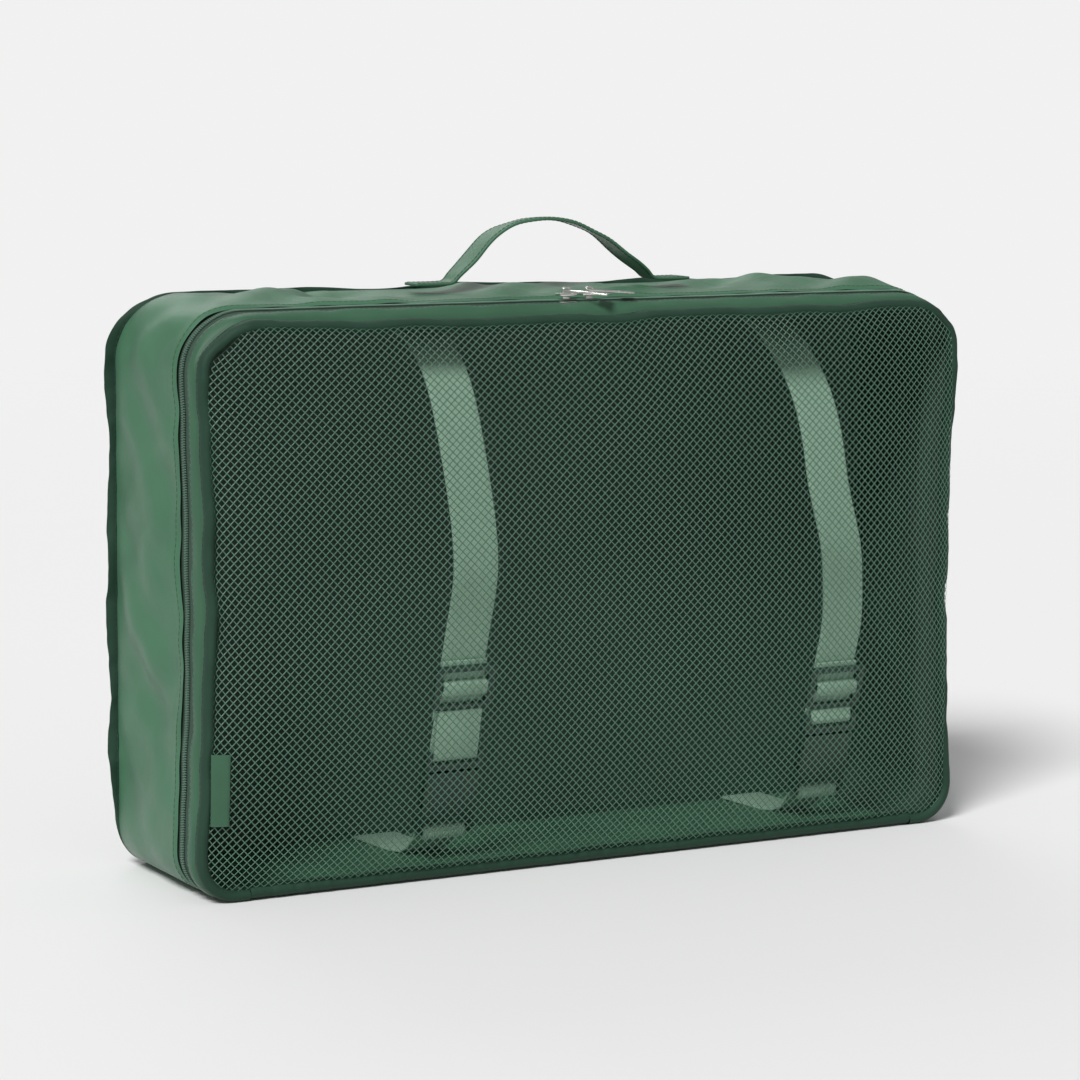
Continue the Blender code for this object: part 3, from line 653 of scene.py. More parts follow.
def sun(name, direction, angle, strength):
    """A far light that shines along the direction, as wide as the angle in degrees."""
    pick_none()
    bpy.ops.object.light_add(type="SUN")
    light = bpy.context.object
    light.name = name
    light.data.angle = math.radians(angle)
    light.data.energy = strength
    aim(light, -Vector(direction), (0, 0, 0))


sky(level=0.32, seen=0.88)
sun("key", (0.70, 0.55, -1.0), 20, 3.0)
sun("rim", (-0.15, -0.9, -0.6), 34, 0.42)


# %% [markdown]
# ## The satin walls
# One long strip goes up one side, over the top and down the other. Its front edge is folded under
# beside the zip, and the load pushes it out in slow waves that lean across it. The bottom is
# a separate strip that lies flat under the load.

# %% Walls
FOLD = 4 * MM
SEAM_ALLOWANCE = 1.1 * MM
SIDES = ("left", "right")


def middle_x(node):
    """The middle of a node's box along X."""
    return sum(corner[0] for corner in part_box(node)) / 2


FEET_X = [middle_x("handle_foot_" + side) for side in SIDES]


def wall_swell(s, y):
    """How far the wall stands out: slow slanted waves, dents, and tucks that fade from the seams.
    It is calm under the carry loop's feet."""
    off_middle = y - (WALL_EDGE + BACK_Y) / 2
    across = np.clip((y - WALL_EDGE) / (BACK_Y - WALL_EDGE), 0, 1)
    held = (np.sin(np.pi * across)) ** 0.7
    slow = 3.4 * MM * ripple(s + 0.9 * off_middle, 0.17, 4) + 1.5 * MM
    cross = 2.4 * MM * ripple(s - 1.2 * off_middle, 0.074, 6)
    dents = 2.2 * MM * ripple(s + 0.4 * off_middle, 0.057, 13) * np.sin(2 * np.pi * across)
    tucks = 2.7 * MM * ripple(s, 0.026, 7) * smooth(across, 0.62, 1.0) * (1.05 - across)
    shoulder = 0.45 * MM * ripple(s + 0.5 * y, 0.034, 9) * (1 - across)
    calm = 1 - sum(bump(s, TOP_MIDDLE + foot, 0.034) for foot in FEET_X)
    return off_floor(s) * (held * (slow + cross + dents) + tucks + shoulder) * calm


def wall_place(s, out, y):
    """The wall swells, and near its front edge it goes where the zip goes."""
    front = 1 - smooth(y, WALL_EDGE + 6 * MM, WALL_EDGE + 34 * MM)
    edge = 1.1 * MM * ripple(s, 0.12, 11) * off_floor(s) * on_sides(s)
    moved = out + wall_swell(s, y) + front * rim_sway(s) + lean_in(s, y)
    return s, moved, y + front * (zip_sway(s) + edge)


FOLD_LEVEL = -1.5 * MM
WALL_SECTION = rounded([
    (FOLD_LEVEL, WALL_EDGE + FOLD), (FOLD_LEVEL, WALL_EDGE + 1.4 * MM), (-0.9 * MM, WALL_EDGE),
    (0.0, WALL_EDGE + 1.2 * MM), (0.1 * MM, WALL_EDGE + 4 * MM)], 4)
WALL_SECTION += [(0.0, y) for y in np.linspace(WALL_EDGE + 6 * MM, BACK_Y + SEAM_ALLOWANCE, 30)]
walls, walls_flat = band("satin_walls", ZIP_START, ZIP_LENGTH, WALL_SECTION, (ZIP_STEPS, 52), wall_place)
dress(walls, SATIN, "tray", ["side_gusset"])


def paint_inside_shade(item, outwards):
    """Inner faces get a duller satin, painted darker as the shade inside the bag. A face is an inner one
    when it looks back to the bag's middle. outwards weighs the three axes for that."""
    item.data.materials.append(INSIDE_PAINTED_SHADE)
    faces = item.data.polygons
    away = (read(faces, "center", 3) - (0.0, 0.0, HEIGHT / 2)) * outwards
    away /= np.linalg.norm(away, axis=1, keepdims=True)
    inner = (read(faces, "normal", 3) * away).sum(axis=1) < -0.35
    faces.foreach_set("material_index", inner.astype(int))


# Painted shade on the walls' inner faces.
paint_inside_shade(walls, outwards=(0.6, 0.0, 1.0))

bottom_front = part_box("bottom_gusset")[0][1]
bottom_cut = (2 * ZIP_START - 0.6 * MM, BACK_Y + SEAM_ALLOWANCE - bottom_front)
bottom = cut_cloth("satin_bottom", *bottom_cut, 160, 30)


def bottom_place(along, across):
    """Flat on the floor at its edges, and a little lifted between them."""
    x = along - bottom_cut[0] / 2
    y = bottom_front + across
    held = np.sin(np.pi * across / bottom_cut[1]) * smooth(ZIP_START - np.abs(x), 0.0, 0.03)
    return x, y, 0.6 * MM + held * (0.9 * MM + 0.8 * MM * ripple(x + 0.6 * y, 0.07, 12))


sew(bottom, bottom_place, *bottom_cut)
thicken(bottom)
soften(bottom)
dress(bottom, SATIN, "tray", ["bottom_gusset"])


# %% [markdown]
# ## Panels inside the outline
# The back is one piece of satin, cut to the outline and pushed out by the load. Laid out as rings
# from the seam to the middle it has no corner to pinch, and creases run in from the seam.

# %% Back panel
def ring_point(s, scale, half_width, low, high, inset):
    """A point of the outline, moved in by the inset, fitted to a box and shrunk about its middle."""
    x, z, nx, nz = outline(s)
    wide = half_width / (HALF_W - inset)
    tall = (high - low) / (HEIGHT - 2 * inset)
    x = (x - nx * inset) * wide * scale
    return x, (low + high) / 2 + (z - nz * inset - HEIGHT / 2) * tall * scale


def back_place(s, breadth):
    """From the seam, where breadth is 0, to the panel's middle."""
    scale = np.clip(1 - breadth / BACK_REACH, 0, 1)
    x, z = ring_point(s, scale, HALF_W - 0.5 * MM, 1.2 * MM, HEIGHT - 0.5 * MM, 1 * MM)
    swell = (1 - scale ** 4) ** 0.6
    whole = smooth(np.minimum(s, ROUND - s), 0.0, 0.06)
    creases = ripple(s, 0.052, 21) * scale ** 8 * (1 - scale) * 14 * whole
    slow = ripple(x + 0.7 * z, 0.16, 22) + 0.8 * ripple(z - 0.5 * x, 0.12, 23)
    y = BACK_Y + 0.3 * MM + swell * (BACK_BULGE + 1.1 * MM * slow) + 0.7 * MM * creases
    return x, y, z


BACK_REACH = 150 * MM
BACK_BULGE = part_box("back_panel")[1][1] - BACK_Y - 0.8 * MM
back_panel = cut_cloth("satin_back", ROUND, BACK_REACH, 300, 44)
sew(back_panel, back_place, ROUND, BACK_REACH)
turn_outwards(back_panel)
lay_uv(back_panel, points_of(back_panel)[:, [0, 2]])
thicken(back_panel)
soften(back_panel)
dress(back_panel, SATIN, "tray", ["back_panel"])
# Painted shade on the back panel's inner faces.
paint_inside_shade(back_panel, outwards=(0.0, 1.0, 0.0))


# %% [markdown]
# ## The bound seams
# Raw edges are wrapped in a folded tape, and the thread draws it into small puckers. Behind, the
# tape stands out from the wall as a flat fin that waves. In front it is a soft tube.

# %% Bindings
def tube_section(out, y, half_out, half_y, turns=14):
    """A closed oval round one place, as a profile."""
    angles = np.linspace(0.0, 2 * math.pi, turns + 1)
    return [(out + half_out * math.cos(a), y + half_y * math.sin(a)) for a in angles]


def bind(name, start, length, section, steps, place, body, node):
    """A closed binding sewn along the outline. Returns the piece and its flat size."""
    binding, flat = band(name, start, length, section, steps, place, thickness=0)
    turn_outwards(binding)
    soften(binding, 70)
    # Each binding gets the satin painted much darker, as painted shade.
    dress(binding, BINDING_PAINTED_SHADE, body, [node])
    return binding, flat


FIN_OUT = flange_high[0] - HALF_W
FIN_THICK = flange_high[1] - flange_low[1]
FIN_Y = (flange_low[1] + flange_high[1]) / 2
FIN_HIDDEN = 5 * MM


def fin_place(s, out, y):
    """The fin waves, and is folded down where it meets the floor and over the top."""
    _, z, _, nz = outline(s)
    free = smooth(out, 0.5 * MM, FIN_OUT) * smooth(z + nz * out, 0.0, 10 * MM)
    wave = 1.5 * MM * ripple(s, 0.058, 31) + 0.7 * MM * ripple(s, 0.019, 32)
    width = 1.5 * MM * ripple(s, 0.11, 33)
    folded = (1 - off_floor(s) + 0.6 * smooth(nz, 0.3, 1.0)) * np.maximum(out - 0.1 * MM, 0)
    return s, out + free * width - folded, y + free * wave + 0.2 * MM * ripple(s, 0.011, 34)


fin, fin_flat = bind(
    "back_fin", 0.0, ROUND,
    tube_section((FIN_OUT - FIN_HIDDEN) / 2, FIN_Y, (FIN_OUT + FIN_HIDDEN) / 2, FIN_THICK / 2, 12),
    (900, 12), fin_place, "tray", "back_binding")

TUBE_HALF_OUT = 3.0 * MM
TUBE_HALF_Y = (tube_high[1] - tube_low[1]) / 2


def front_tube_place(s, out, y):
    """Long folds and small puckers are drawn in towards the tube's middle."""
    slant = s + 1.5 * (out + y)
    pucker = 1 + 0.10 * ripple(slant, 0.036, 41) + 0.05 * ripple(s, 0.0125, 42)
    middle = -TUBE_HALF_OUT
    side = off_floor(s)
    drawn = seam_shift(s) + lean_in(s, y)
    moved = middle + (out - middle) * (1 + side * (pucker - 1)) + drawn
    y = SEAM_Y + (y - SEAM_Y) * (1 + side * 0.6 * (pucker - 1))
    return s, moved, y + side * 0.5 * MM * ripple(s, 0.037, 43)


lid_tube, tube_flat = bind(
    "front_tube", ZIP_START, ZIP_LENGTH,
    tube_section(-TUBE_HALF_OUT, SEAM_Y, TUBE_HALF_OUT, TUBE_HALF_Y),
    (1100, 14), front_tube_place, "lid", "front_binding")
tube_flat[1] / 2

hinge_low, hinge_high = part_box("hinge_binding")
hinge_middle = (hinge_low[2] + hinge_high[2]) / 2
hinge_half = (hinge_high[2] - hinge_low[2]) / 2
hinge_length = hinge_high[0] - hinge_low[0]


def hinge_place(s, out, y):
    """The seam puckers and waves on its upper side, and lies still on the floor."""
    pucker = 1 + 0.08 * ripple(s, 0.0125, 44) + 0.06 * ripple(s, 0.0067, 45)
    above = np.where(out < -hinge_middle, 1.0, 0.2)
    moved = -hinge_middle + (out + hinge_middle) * (1 + (pucker - 1) * above)
    ends = smooth(hinge_length / 2 - np.abs(s), 0.0, 0.03)
    return s, moved - above * ends * 0.5 * MM * ripple(s, 0.062, 46), SEAM_Y + (y - SEAM_Y) * pucker


hinge_tube, hinge_flat = bind(
    "hinge_tube", -hinge_length / 2, hinge_length,
    tube_section(-hinge_middle, SEAM_Y, hinge_half, TUBE_HALF_Y),
    (380, 14), hinge_place, "tray", "hinge_binding")
hinge_flat[1] / 2


# %% [markdown]
# ## The lid's border and the zip tapes
# A narrow satin strip joins the netting's tube to the zip. It dips beside the tube, where the seam
# pulls it in. The zip's two tapes run under the satin, and slope up to the teeth between them.

# %% Lid strip and tapes
STRIP_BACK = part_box("lid_strip")[1][1]
STRIP_FRONT = SEAM_Y + TUBE_HALF_Y


def strip_place(s, out, y):
    """The strip's front goes where the seam goes, and its back where the zip goes."""
    wave = 0.45 * MM * ripple(s, 0.044, 51) + 0.25 * MM * ripple(s, 0.017, 52)
    share = smooth(y, STRIP_FRONT, STRIP_BACK)
    slope = 1 - smooth(y, STRIP_FRONT - 1 * MM, STRIP_BACK - 1.5 * MM)
    drawn = rim_sway(s) + slope * front_sag(s) + lean_in(s, y)
    return s, out + drawn + off_floor(s) * share * wave, y + share * zip_sway(s)


STRIP_SECTION = rounded([
    (-2.6 * MM, STRIP_FRONT - 1.2 * MM), (-1.6 * MM, STRIP_FRONT + 0.1 * MM),
    (-0.1 * MM, STRIP_FRONT + 1.6 * MM), (0.3 * MM, STRIP_FRONT + 4.2 * MM),
    (0.0, STRIP_BACK - 1.0 * MM), (-0.9 * MM, STRIP_BACK),
    (FOLD_LEVEL, STRIP_BACK - 1.3 * MM), (FOLD_LEVEL, STRIP_BACK - FOLD)], 4)
lid_strip, strip_flat = band(
    "lid_border", ZIP_START, ZIP_LENGTH, STRIP_SECTION, (ZIP_STEPS, 28), strip_place, 0.4 * MM)
# The lid's border gets the satin painted darker, as painted shade.
dress(lid_strip, SATIN_PAINTED_SHADE, "lid", ["lid_strip"])


def zip_place(s, out, y):
    return s, out + rim_sway(s) + lean_in(s, y), y + zip_sway(s)


TAPE_LEVEL = -2.1 * MM
ZIP_HALVES = ((-1, "lid"), (1, "tray"))
for side, body in ZIP_HALVES:
    tape_low, tape_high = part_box("zip_tape_" + body)
    far = max(tape_low[1], tape_high[1], key=lambda y: abs(y - ZIP_Y))
    near = ZIP_Y + side * 0.2 * MM
    section = [(TAPE_LEVEL + 1.0 * MM, near), (TAPE_LEVEL, (near + far) / 2), (TAPE_LEVEL, far)]
    tape, tape_flat = band("tape_" + body, ZIP_START, ZIP_LENGTH, section, (ZIP_STEPS, 6), zip_place)
    dress(tape, ZIP_TAPE, body, ["zip_tape_" + body])


# %% [markdown]
# ## Small shapes that repeat
# A coil zip is one bent monofilament: from outside it is hundreds of short ribs that mesh at the
# middle. A seam is a row of short threads. Both are one small solid, made once with few faces, and
# set down along the bag again and again in a single mesh.

# %% Teeth and stitches
def small_solid(size, blunt, rings):
    """A blunt capsule along X: its points, and its faces as lists of point numbers."""
    pick_none()
    bpy.ops.mesh.primitive_uv_sphere_add(segments=6, ring_count=rings, radius=0.5)
    solid = bpy.context.object
    points = points_of(solid)[:, [2, 1, 0]]
    points[:, 0] = 0.5 * np.sign(points[:, 0]) * np.abs(2 * points[:, 0]) ** blunt
    points = points * size
    faces = [list(face.vertices)[::-1] for face in solid.data.polygons]
    bpy.data.objects.remove(solid, do_unlink=True)
    return points, faces


def repeat(name, solid, places, forwards, outs):
    """One mesh of copies: each copy's X points forwards and its Z out."""
    points, faces = solid
    forwards = forwards / np.linalg.norm(forwards, axis=1, keepdims=True)
    sides = np.cross(outs, forwards)
    sides = sides / np.linalg.norm(sides, axis=1, keepdims=True)
    ups = np.cross(forwards, sides)
    turned = (places[:, None] + points[None, :, :1] * forwards[:, None]
              + points[None, :, 1:2] * sides[:, None] + points[None, :, 2:] * ups[:, None])
    count = len(points)
    every = [[index + k * count for index in face] for k in range(len(places)) for face in faces]
    mesh = bpy.data.meshes.new(name)
    mesh.from_pydata(turned.reshape(-1, 3).tolist(), [], every)
    made = bpy.data.objects.new(name, mesh)
    bpy.context.collection.objects.link(made)
    mesh.shade_smooth()
    return made


def row_along(name, solid, start, length, pitch, point, across=False, shift=0.0):
    """Copies along the outline, where point(s) gives an (n, 3) array. They point along the row, or
    across it, and stand out from the middle of the bag."""
    s = np.arange(start + pitch * (0.5 + shift), start + length - pitch * 0.5, pitch)
    here = point(s)
    ahead = point(s + 0.5 * MM) - point(s - 0.5 * MM)
    _, _, nx, nz = outline(s)
    outs = np.stack([nx, np.zeros_like(nx), nz], axis=1)
    forwards = np.tile((0.0, 1.0, 0.0), (len(s), 1)) if across else ahead
    return repeat(name, solid, here, forwards, outs)


def on_band(shape, out, y):
    """The line that one place on a band's section takes along the bag."""
    return lambda s: np.stack(on_outline(*shape(s, np.full_like(s, out), np.full_like(s, y))), axis=1)


COIL_PITCH = 1.25 * MM
TOOTH_LEVEL = -0.35 * MM
TOOTH = small_solid((2.5 * MM, 0.66 * MM, 1.0 * MM), 0.55, 5)
for side, body in ZIP_HALVES:
    row = row_along(
        "teeth_" + body, TOOTH, ZIP_START, ZIP_LENGTH, COIL_PITCH,
        on_band(zip_place, TOOTH_LEVEL, ZIP_Y + side * 1.1 * MM), across=True, shift=0.25 * side)
    dress(row, COIL_NYLON, body, ["zip_coil_" + body])
# The zip's end stops keep the model's shape.
for side in SIDES:
    bpy.data.objects["zip_stop_" + side].material_slots[0].material = COIL_NYLON

STITCH = small_solid((2.5 * MM, 0.42 * MM, 0.36 * MM), 0.75, 4)
STITCH_PITCH = 3.1 * MM
for name, body, slot, shape, out, y in (
        ("wall_stitches", "tray", "satin_nylon", wall_place, 0.35 * MM, WALL_EDGE + 2.2 * MM),
        ("border_stitches", "lid", "satin_nylon", strip_place, 0.35 * MM, STRIP_BACK - 1.9 * MM),
        ("tube_stitches", "lid", "bound_seam", front_tube_place, -0.9 * MM, SEAM_Y + 3.1 * MM)):
    row = row_along(name, STITCH, ZIP_START, ZIP_LENGTH, STITCH_PITCH, on_band(shape, out, y))
    dress(row, SEWING_THREAD, body)
row = row_along("fin_stitches", STITCH, 0.0, ROUND, STITCH_PITCH,
                on_band(fin_place, 0.9 * MM, flange_low[1] - 0.1 * MM))
dress(row, SEWING_THREAD, "tray")


# %% [markdown]
# ## The netting
# The net is a knitted square mesh that is cut on the bias, so its threads run at 45 degrees. We cut
# it flat as a turned grid, drop the cells outside the outline, and inset every cell: what is left
# between the holes is thread, with its crest on the cell's edge. Then it is laid over the load, a
# little longer each way than the opening, as the real one is.

# %% Netting
NET_SPACING = 3.05 * MM
THREAD_WIDTH = 0.56 * MM
THREAD_CREST = 0.28 * MM
NET_BULGE = tube_low[1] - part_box("mesh_panel")[0][1] - 1.2 * MM
NET_HALF_W = HALF_W - 3.2 * MM
NET_LOW = 3.6 * MM
NET_HIGH = HEIGHT - 3.2 * MM
NET_MIDDLE = (NET_LOW + NET_HIGH) / 2
NET_HALF_H = (NET_HIGH - NET_LOW) / 2


def net_depth(x, z):
    """How far the netting is pushed out by the load."""
    u = np.clip(np.abs(x) / NET_HALF_W, 0, 1)
    v = np.clip(np.abs(z - NET_MIDDLE) / NET_HALF_H, 0, 1)
    pillow = (1 - u ** 5) ** 0.55 * (1 - v ** 2.8) ** 0.62
    slow = 1.5 * MM * ripple(x + 0.5 * z, 0.21, 61) + 1.1 * MM * ripple(z - 0.6 * x, 0.13, 62)
    return pillow * (NET_BULGE + slow)


def stretch_table(half, depth):
    """Flat length against place, from the middle out, along one section of the net."""
    places = half * np.sin(np.linspace(0, np.pi / 2, 800))
    steps = np.hypot(np.diff(places), np.diff(depth(places)))
    return np.concatenate([[0], np.cumsum(steps)]), places


FLAT_X, PLACE_X = stretch_table(NET_HALF_W, lambda x: net_depth(x, np.full_like(x, NET_MIDDLE)))
FLAT_Z, PLACE_Z = stretch_table(NET_HALF_H, lambda z: net_depth(np.zeros_like(z), z + NET_MIDDLE))
net_cut = (2 * FLAT_X[-1], 2 * FLAT_Z[-1])


def net_plan(a, b):
    """Where a flat point of the net comes to lie, in x and z."""
    x = np.sign(a) * np.interp(np.abs(a), FLAT_X, PLACE_X)
    z = NET_MIDDLE + np.sign(b) * np.interp(np.abs(b), FLAT_Z, PLACE_Z)
    return x, z


def inside_outline(x, z, margin):
    """True where a point is inside the outline by the margin."""
    radius = np.where(z > HEIGHT / 2, TOP_RADIUS, BOTTOM_RADIUS)
    corner_x = np.maximum(np.abs(x) - (HALF_W - radius), 0)
    corner_z = np.maximum(np.abs(z - HEIGHT / 2) - (HEIGHT / 2 - radius), 0)
    return np.hypot(corner_x, corner_z) < radius - margin


cells = int(math.ceil((net_cut[0] + net_cut[1]) / math.sqrt(2) / NET_SPACING / 2)) * 2
net = cut_cloth("netting", cells * NET_SPACING, cells * NET_SPACING, cells, cells)
pick(net)
net.rotation_euler = (0, 0, math.radians(45))
bpy.ops.object.transform_apply(location=False, rotation=True, scale=False)
cell_a, cell_b, _ = read(net.data.polygons, "center", 3).T
in_cut = (np.abs(cell_a) < net_cut[0] / 2) & (np.abs(cell_b) < net_cut[1] / 2)
wanted = in_cut & inside_outline(*net_plan(cell_a, cell_b), 3.0 * MM)


def delete_faces(item, unwanted):
    pick(item)
    bpy.ops.object.mode_set(mode="EDIT")
    bpy.ops.mesh.select_mode(type="FACE")
    bpy.ops.mesh.select_all(action="DESELECT")
    bpy.ops.object.mode_set(mode="OBJECT")
    item.data.polygons.foreach_set("select", unwanted)
    bpy.ops.object.mode_set(mode="EDIT")
    bpy.ops.mesh.delete(type="FACE")
    bpy.ops.object.mode_set(mode="OBJECT")


delete_faces(net, ~wanted)
pick(net)
bpy.ops.object.mode_set(mode="EDIT")
bpy.ops.mesh.select_all(action="SELECT")
bpy.ops.mesh.inset(thickness=THREAD_WIDTH / 2, depth=0.0, use_individual=True)
bpy.ops.object.mode_set(mode="OBJECT")
holes = np.empty(len(net.data.polygons), bool)
net.data.polygons.foreach_get("select", holes)
hole_points = {index for face in net.data.polygons if face.select for index in face.vertices}
delete_faces(net, holes)


def follow_seam(x, z):
    """The net's edge goes where its seam is drawn, and the pull fades towards the middle."""
    top = TOP_MIDDLE + x
    side = HALF_W - 5 * MM + z
    side = np.where(x < 0, side, ROUND - side)
    near_top = np.clip((z - NET_MIDDLE) / NET_HALF_H, 0, 1) ** 2
    near_side = (np.abs(x) / NET_HALF_W) ** 4
    inward = (seam_shift(side) + lean_in(side, SEAM_Y)) * near_side
    return x + np.sign(x) * inward, z + (seam_shift(top) + lean_in(top, SEAM_Y)) * near_top


flat = points_of(net)
x, z = follow_seam(*net_plan(flat[:, 0], flat[:, 1]))
sunk = np.zeros(len(flat))
sunk[list(hole_points)] = THREAD_CREST
put_points(net, np.stack([x, SEAM_Y - net_depth(x, z) + sunk, z], axis=1))
soften(net, 75)
dress(net, NET_THREAD, "lid", ["mesh_panel"])
thread_area = float(read(net.data.polygons, "area", 1).sum())
print("thread covers", round(thread_area / net_cut[0] / net_cut[1], 3), "of the net")


def sink_when_open(item):
    """Nothing fills an open lid; here the piece only gets a mesh of its own."""
    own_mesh(item)


sink_when_open(net)


# %% [markdown]
# ## The carry loop
# The loop is a strip of the satin, folded to four layers and stitched along both edges. It lies flat
# on the top wall at each end, where the stitching holds it, and stands up between. The strap bends
# where it leaves its feet.

# %% Handle
loop_low, loop_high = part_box("handle_strap")
feet = [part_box("handle_foot_left"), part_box("handle_foot_right")]
LOOP_X = (loop_low[0] + loop_high[0]) / 2
LOOP_Y = (loop_low[1] + loop_high[1]) / 2
LOOP_HALF_WIDTH = (loop_high[1] - loop_low[1]) / 2 + 0.3 * MM
LOOP_THICKNESS = 1.5 * MM
DECK = feet[0][1][2] + 0.4 * MM
TAB_REACH = feet[1][1][0] - LOOP_X
SPAN = (loop_high[0] - loop_low[0]) / 2
RISE = loop_high[2] - 0.8 * MM


def loop_route():
    """The strap's middle line in x and z, from the left foot's end to the right one's."""
    half = [(TAB_REACH, DECK), (SPAN + 9 * MM, DECK),
            (SPAN + 3 * MM, DECK + 0.8 * MM), (SPAN - 1.5 * MM, DECK + 5 * MM)]
    for share in (0.80, 0.56, 0.28):
        half.append((SPAN * share, DECK + (RISE - DECK) * (1 - share ** 2.3)))
    left = [(LOOP_X - x, z) for x, z in half]
    right = [(LOOP_X + x, z) for x, z in reversed(half)]
    route = np.array(rounded(left + [(LOOP_X, RISE)] + right, 8))
    route[:, 0] -= 4.5 * MM * smooth(route[:, 1], DECK, RISE)
    return route


LOOP = loop_route()
LOOP_LENGTHS = np.concatenate([[0], np.cumsum(np.hypot(*np.diff(LOOP, axis=0).T))])
LOOP_LENGTH = LOOP_LENGTHS[-1]


def loop_point(along):
    """x and z at lengths along the loop's middle line."""
    return np.stack([np.interp(along, LOOP_LENGTHS, LOOP[:, k]) for k in range(2)])


def loop_place(along, across, lift=0.0):
    """The strap crowns a little, twists slowly, and its edges waver."""
    x, z = loop_point(along)
    ahead_x, ahead_z = loop_point(along + MM) - loop_point(along - MM)
    size = np.hypot(ahead_x, ahead_z)
    nx, nz = -ahead_z / size, ahead_x / size
    free = smooth(z, DECK + 1 * MM, DECK + 14 * MM)
    side = across / LOOP_HALF_WIDTH
    narrow = 1 - 0.22 * (1 - free) + 0.03 * ripple(along, 0.03, 71)
    crown = -0.5 * MM * side ** 2 * free + 0.35 * MM * ripple(along + 0.4 * across, 0.034, 72) * free
    twist = 1.3 * MM * side * free * ripple(along, 0.12, 75)
    out = crown + twist + lift
    y = LOOP_Y + across * narrow + free * 1.2 * MM * ripple(along, 0.13, 73)
    return x + nx * out, y, z + nz * out


def bend_at_feet(item):
    """The piece's placing is baked into its points."""
    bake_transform(item)


loop = cut_cloth("carry_loop", LOOP_LENGTH, 2 * LOOP_HALF_WIDTH, 170, 12)
sew(loop, lambda a, b: loop_place(a, b - LOOP_HALF_WIDTH), LOOP_LENGTH, 2 * LOOP_HALF_WIDTH)
thicken(loop, LOOP_THICKNESS)
round_edges(loop, 0.4 * MM)
soften(loop)
dress(loop, SATIN, None, ["handle_strap", "handle_foot_left", "handle_foot_right"])
bend_at_feet(loop)

STITCH_LIFT = LOOP_THICKNESS / 2 + 0.1 * MM
lengths = np.arange(2 * MM, LOOP_LENGTH - 2 * MM, 2.7 * MM)
along = np.tile(lengths, 2)
across = np.repeat((-1, 1), len(lengths)) * (LOOP_HALF_WIDTH - 1.7 * MM)
off_feet = (along > TAB_REACH - SPAN) & (along < LOOP_LENGTH - TAB_REACH + SPAN)
for name, lift, shown in (
        ("loop_stitches_over", STITCH_LIFT, np.ones_like(off_feet)),
        ("loop_stitches_under", -STITCH_LIFT, off_feet)):
    here = np.stack(loop_place(along[shown], across[shown], lift), axis=1)
    ahead = np.stack(loop_place(along[shown] + MM, across[shown], lift), axis=1) - here
    inner = np.stack(loop_place(along[shown], across[shown], 0.0), axis=1)
    row = repeat(name, STITCH, here, ahead, here - inner)
    dress(row, SEWING_THREAD, None)
    bend_at_feet(row)


# %% [markdown]
# ## Straps inside
# Two straps of woven webbing hold the load: each runs down inside the netting, through a tri-glide
# and a side-release buckle, to the bottom seam. The long runs follow the same bends as the model's.
# The short doubled pieces at the buckles keep the model's shape, with softened edges.

# %% Webbing
WEB_WIDTH = 25 * MM
WEB_THICKNESS = 1.4 * MM
# A strap rises straight, in y and z, behind the netting. Above that it bends over the load and back
# to the top seam, through points in millimetres.
LINE_FOOT = np.array((-3.0, 12.0)) * MM
LINE_HEAD = np.array((-50.0, 165.0)) * MM
LINE_UP = (LINE_HEAD - LINE_FOOT) / np.linalg.norm(LINE_HEAD - LINE_FOOT)
STRAP_BENDS = {
    "left": [(-47.5, 212), (-36, 250), (-12, 272), (20, 280.5), (52, 283.5)],
    "right": [(-44, 208), (-29, 240), (-3, 264), (26, 277.5), (52, 283.5)],
}
# The heights between which each strap leans to one side.
STRAP_LEAN = {"left": (0.130, 0.260), "right": (0.105, 0.200)}


def strap_route(side):
    """The strap's y and z from behind the tri-glide to the top back seam."""
    bends = [np.array(point) * MM for point in STRAP_BENDS[side]]
    start = LINE_FOOT + (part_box("strap_" + side)[0][2] - LINE_FOOT[1]) / LINE_UP[1] * LINE_UP
    return np.array(rounded([start, LINE_FOOT + 0.120 * LINE_UP, LINE_HEAD] + bends, 6))


def hang_strap(side):
    """The long run: it starts over its buckle and leans towards its place in the top seam."""
    route = strap_route(side)
    lengths = np.concatenate([[0], np.cumsum(np.hypot(*np.diff(route, axis=0).T))])
    foot_x = middle_x("buckle_housing_" + side)
    ends = [corner[0] + turn * WEB_WIDTH / 2 for corner, turn in zip(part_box("strap_" + side), (1, -1))]
    top_x = max(ends, key=lambda x: abs(x - foot_x))

    def strap_place(along, across):
        y = np.interp(along, lengths, route[:, 0])
        z = np.interp(along, lengths, route[:, 1])
        lean = smooth(z, *STRAP_LEAN[side])
        return foot_x + (top_x - foot_x) * lean + across - WEB_WIDTH / 2, y, z

    strap = cut_cloth("strap_run_" + side, lengths[-1], WEB_WIDTH, 120, 8)
    sew(strap, strap_place, lengths[-1], WEB_WIDTH)
    thicken(strap, WEB_THICKNESS)
    round_edges(strap, 0.4 * MM)
    soften(strap)
    dress(strap, WEBBING_PAINTED_LIGHT, "tray", ["strap_" + side])


for side in SIDES:
    hang_strap(side)


# %% Softened copies of the model's pieces
def softened_copy(node, name, width, segments=2):
    """One of the model's pieces merged to one skin, with its edges rounded."""
    copy = bpy.data.objects.new(name, bpy.data.objects[node].data.copy())
    bpy.context.collection.objects.link(copy)
    turn_outwards(copy, flatten=True)
    round_edges(copy, width, segments, sharper_than=35)
    soften(copy, 40)
    return copy


TURN_HEIGHT = 18 * MM


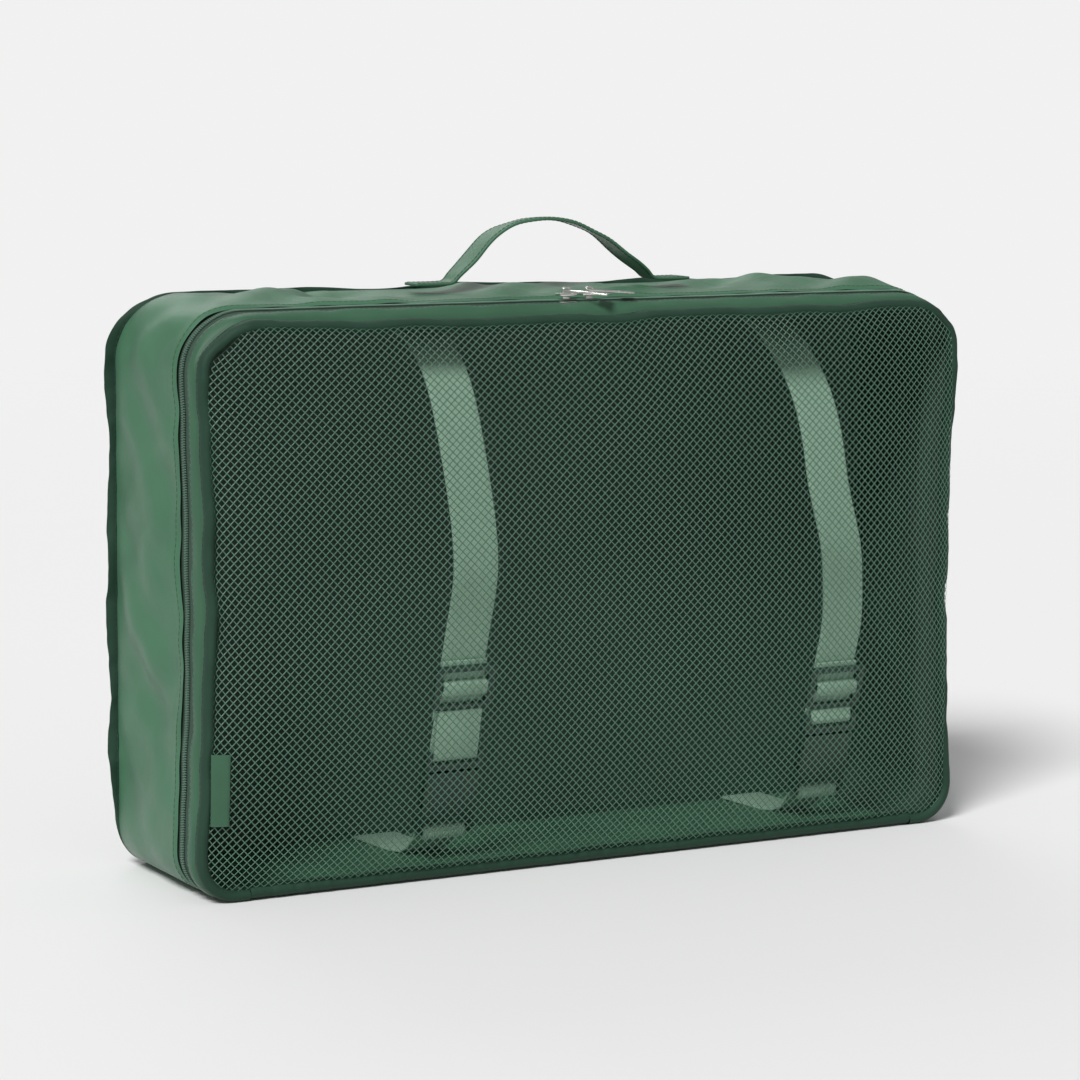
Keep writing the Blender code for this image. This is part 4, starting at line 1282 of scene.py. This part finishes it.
def strap_uv(item, across_from):
    """A UV map in metres for webbing that comes up the slanted line, and turns back near its foot."""
    x, y, z = points_of(item).T
    up_line = y * LINE_UP[0] + z * LINE_UP[1]
    along = np.where(z > TURN_HEIGHT, up_line, TURN_HEIGHT - y)
    lay_uv(item, np.stack([along, x - across_from + WEB_WIDTH / 2], axis=1))


# A doubled piece's area over half its girth gives its length.
HALF_GIRTH = WEB_WIDTH + 2 * MM
for side in SIDES:
    for part, body in (("strap_band_", "plug_" + side), ("lower_webbing_", "tray"),
                       ("adjuster_webbing_", "adjuster_" + side)):
        name = part.replace("webbing", "turn") + "cloth_" + side
        piece = softened_copy(part + side, name, 0.35 * MM)
        strap_uv(piece, middle_x("buckle_housing_" + side))
        dress(piece, WEBBING_PAINTED_LIGHT, body, [part + side])
        length = read(piece.data.polygons, "area", 1).sum() / 2 / HALF_GIRTH

# %% Buckles, sliders and pull tabs
for side in SIDES:
    for node, body, width, segments in (
            ("buckle_housing_" + side, "tray", 0.45 * MM, 3),
            ("buckle_plug_" + side, "plug_" + side, 0.45 * MM, 3),
            ("buckle_arm_" + side + "_a", "arm_" + side + "_a", 0.35 * MM, 2),
            ("buckle_arm_" + side + "_b", "arm_" + side + "_b", 0.35 * MM, 2),
            ("adjuster_frame_" + side, "adjuster_" + side, 0.5 * MM, 3)):
        copy = softened_copy(node, "moulded_" + node, width, segments)
        dress(copy, PLASTIC, body, [node])
    for node, body in (("slider_", "zip_slider_"), ("pull_tab_", "tab_")):
        copy = softened_copy(node + side, "plated_" + node + side, 0.28 * MM, 3)
        dress(copy, METAL, body + side, [node + side])


# %% [markdown]
# ## The blank tab
# A folded satin ribbon with nothing on it is caught in the seam, low on the left. It lies on the
# netting's shoulder, with its fold outwards and its two cut ends in the seam.

# %% Blank tab
tab_low, tab_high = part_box("blank_label")
TAB_WIDE = tab_high[2] - tab_low[2]
TAB_DEEP = 9 * MM
RIBBON_THICKNESS = 0.25 * MM
ribbon = cut_cloth("blank_ribbon", 2 * TAB_DEEP, TAB_WIDE, 40, 24)


def ribbon_place(along, across):
    """Out from the seam, round the fold, and back a little behind."""
    out = TAB_DEEP - np.abs(along - TAB_DEEP)
    layer = np.sign(along - TAB_DEEP) * 0.35 * MM * smooth(np.abs(along - TAB_DEEP), 0, 1.2 * MM)
    x = tab_low[0] - 3.5 * MM + out * 0.93
    z = tab_low[2] + across
    lift = 0.3 * MM * ripple(z, 0.02, 81) * out / TAB_DEEP
    y = SEAM_Y - np.maximum(net_depth(x, z), 3 * MM) - 1.0 * MM + layer + lift
    return x, y, z


sew(ribbon, ribbon_place, 2 * TAB_DEEP, TAB_WIDE)
thicken(ribbon, RIBBON_THICKNESS)
soften(ribbon)
# The ribbon gets the satin painted darker, as painted shade.
dress(ribbon, SATIN_PAINTED_SHADE, "lid", ["blank_label"])
sink_when_open(ribbon)
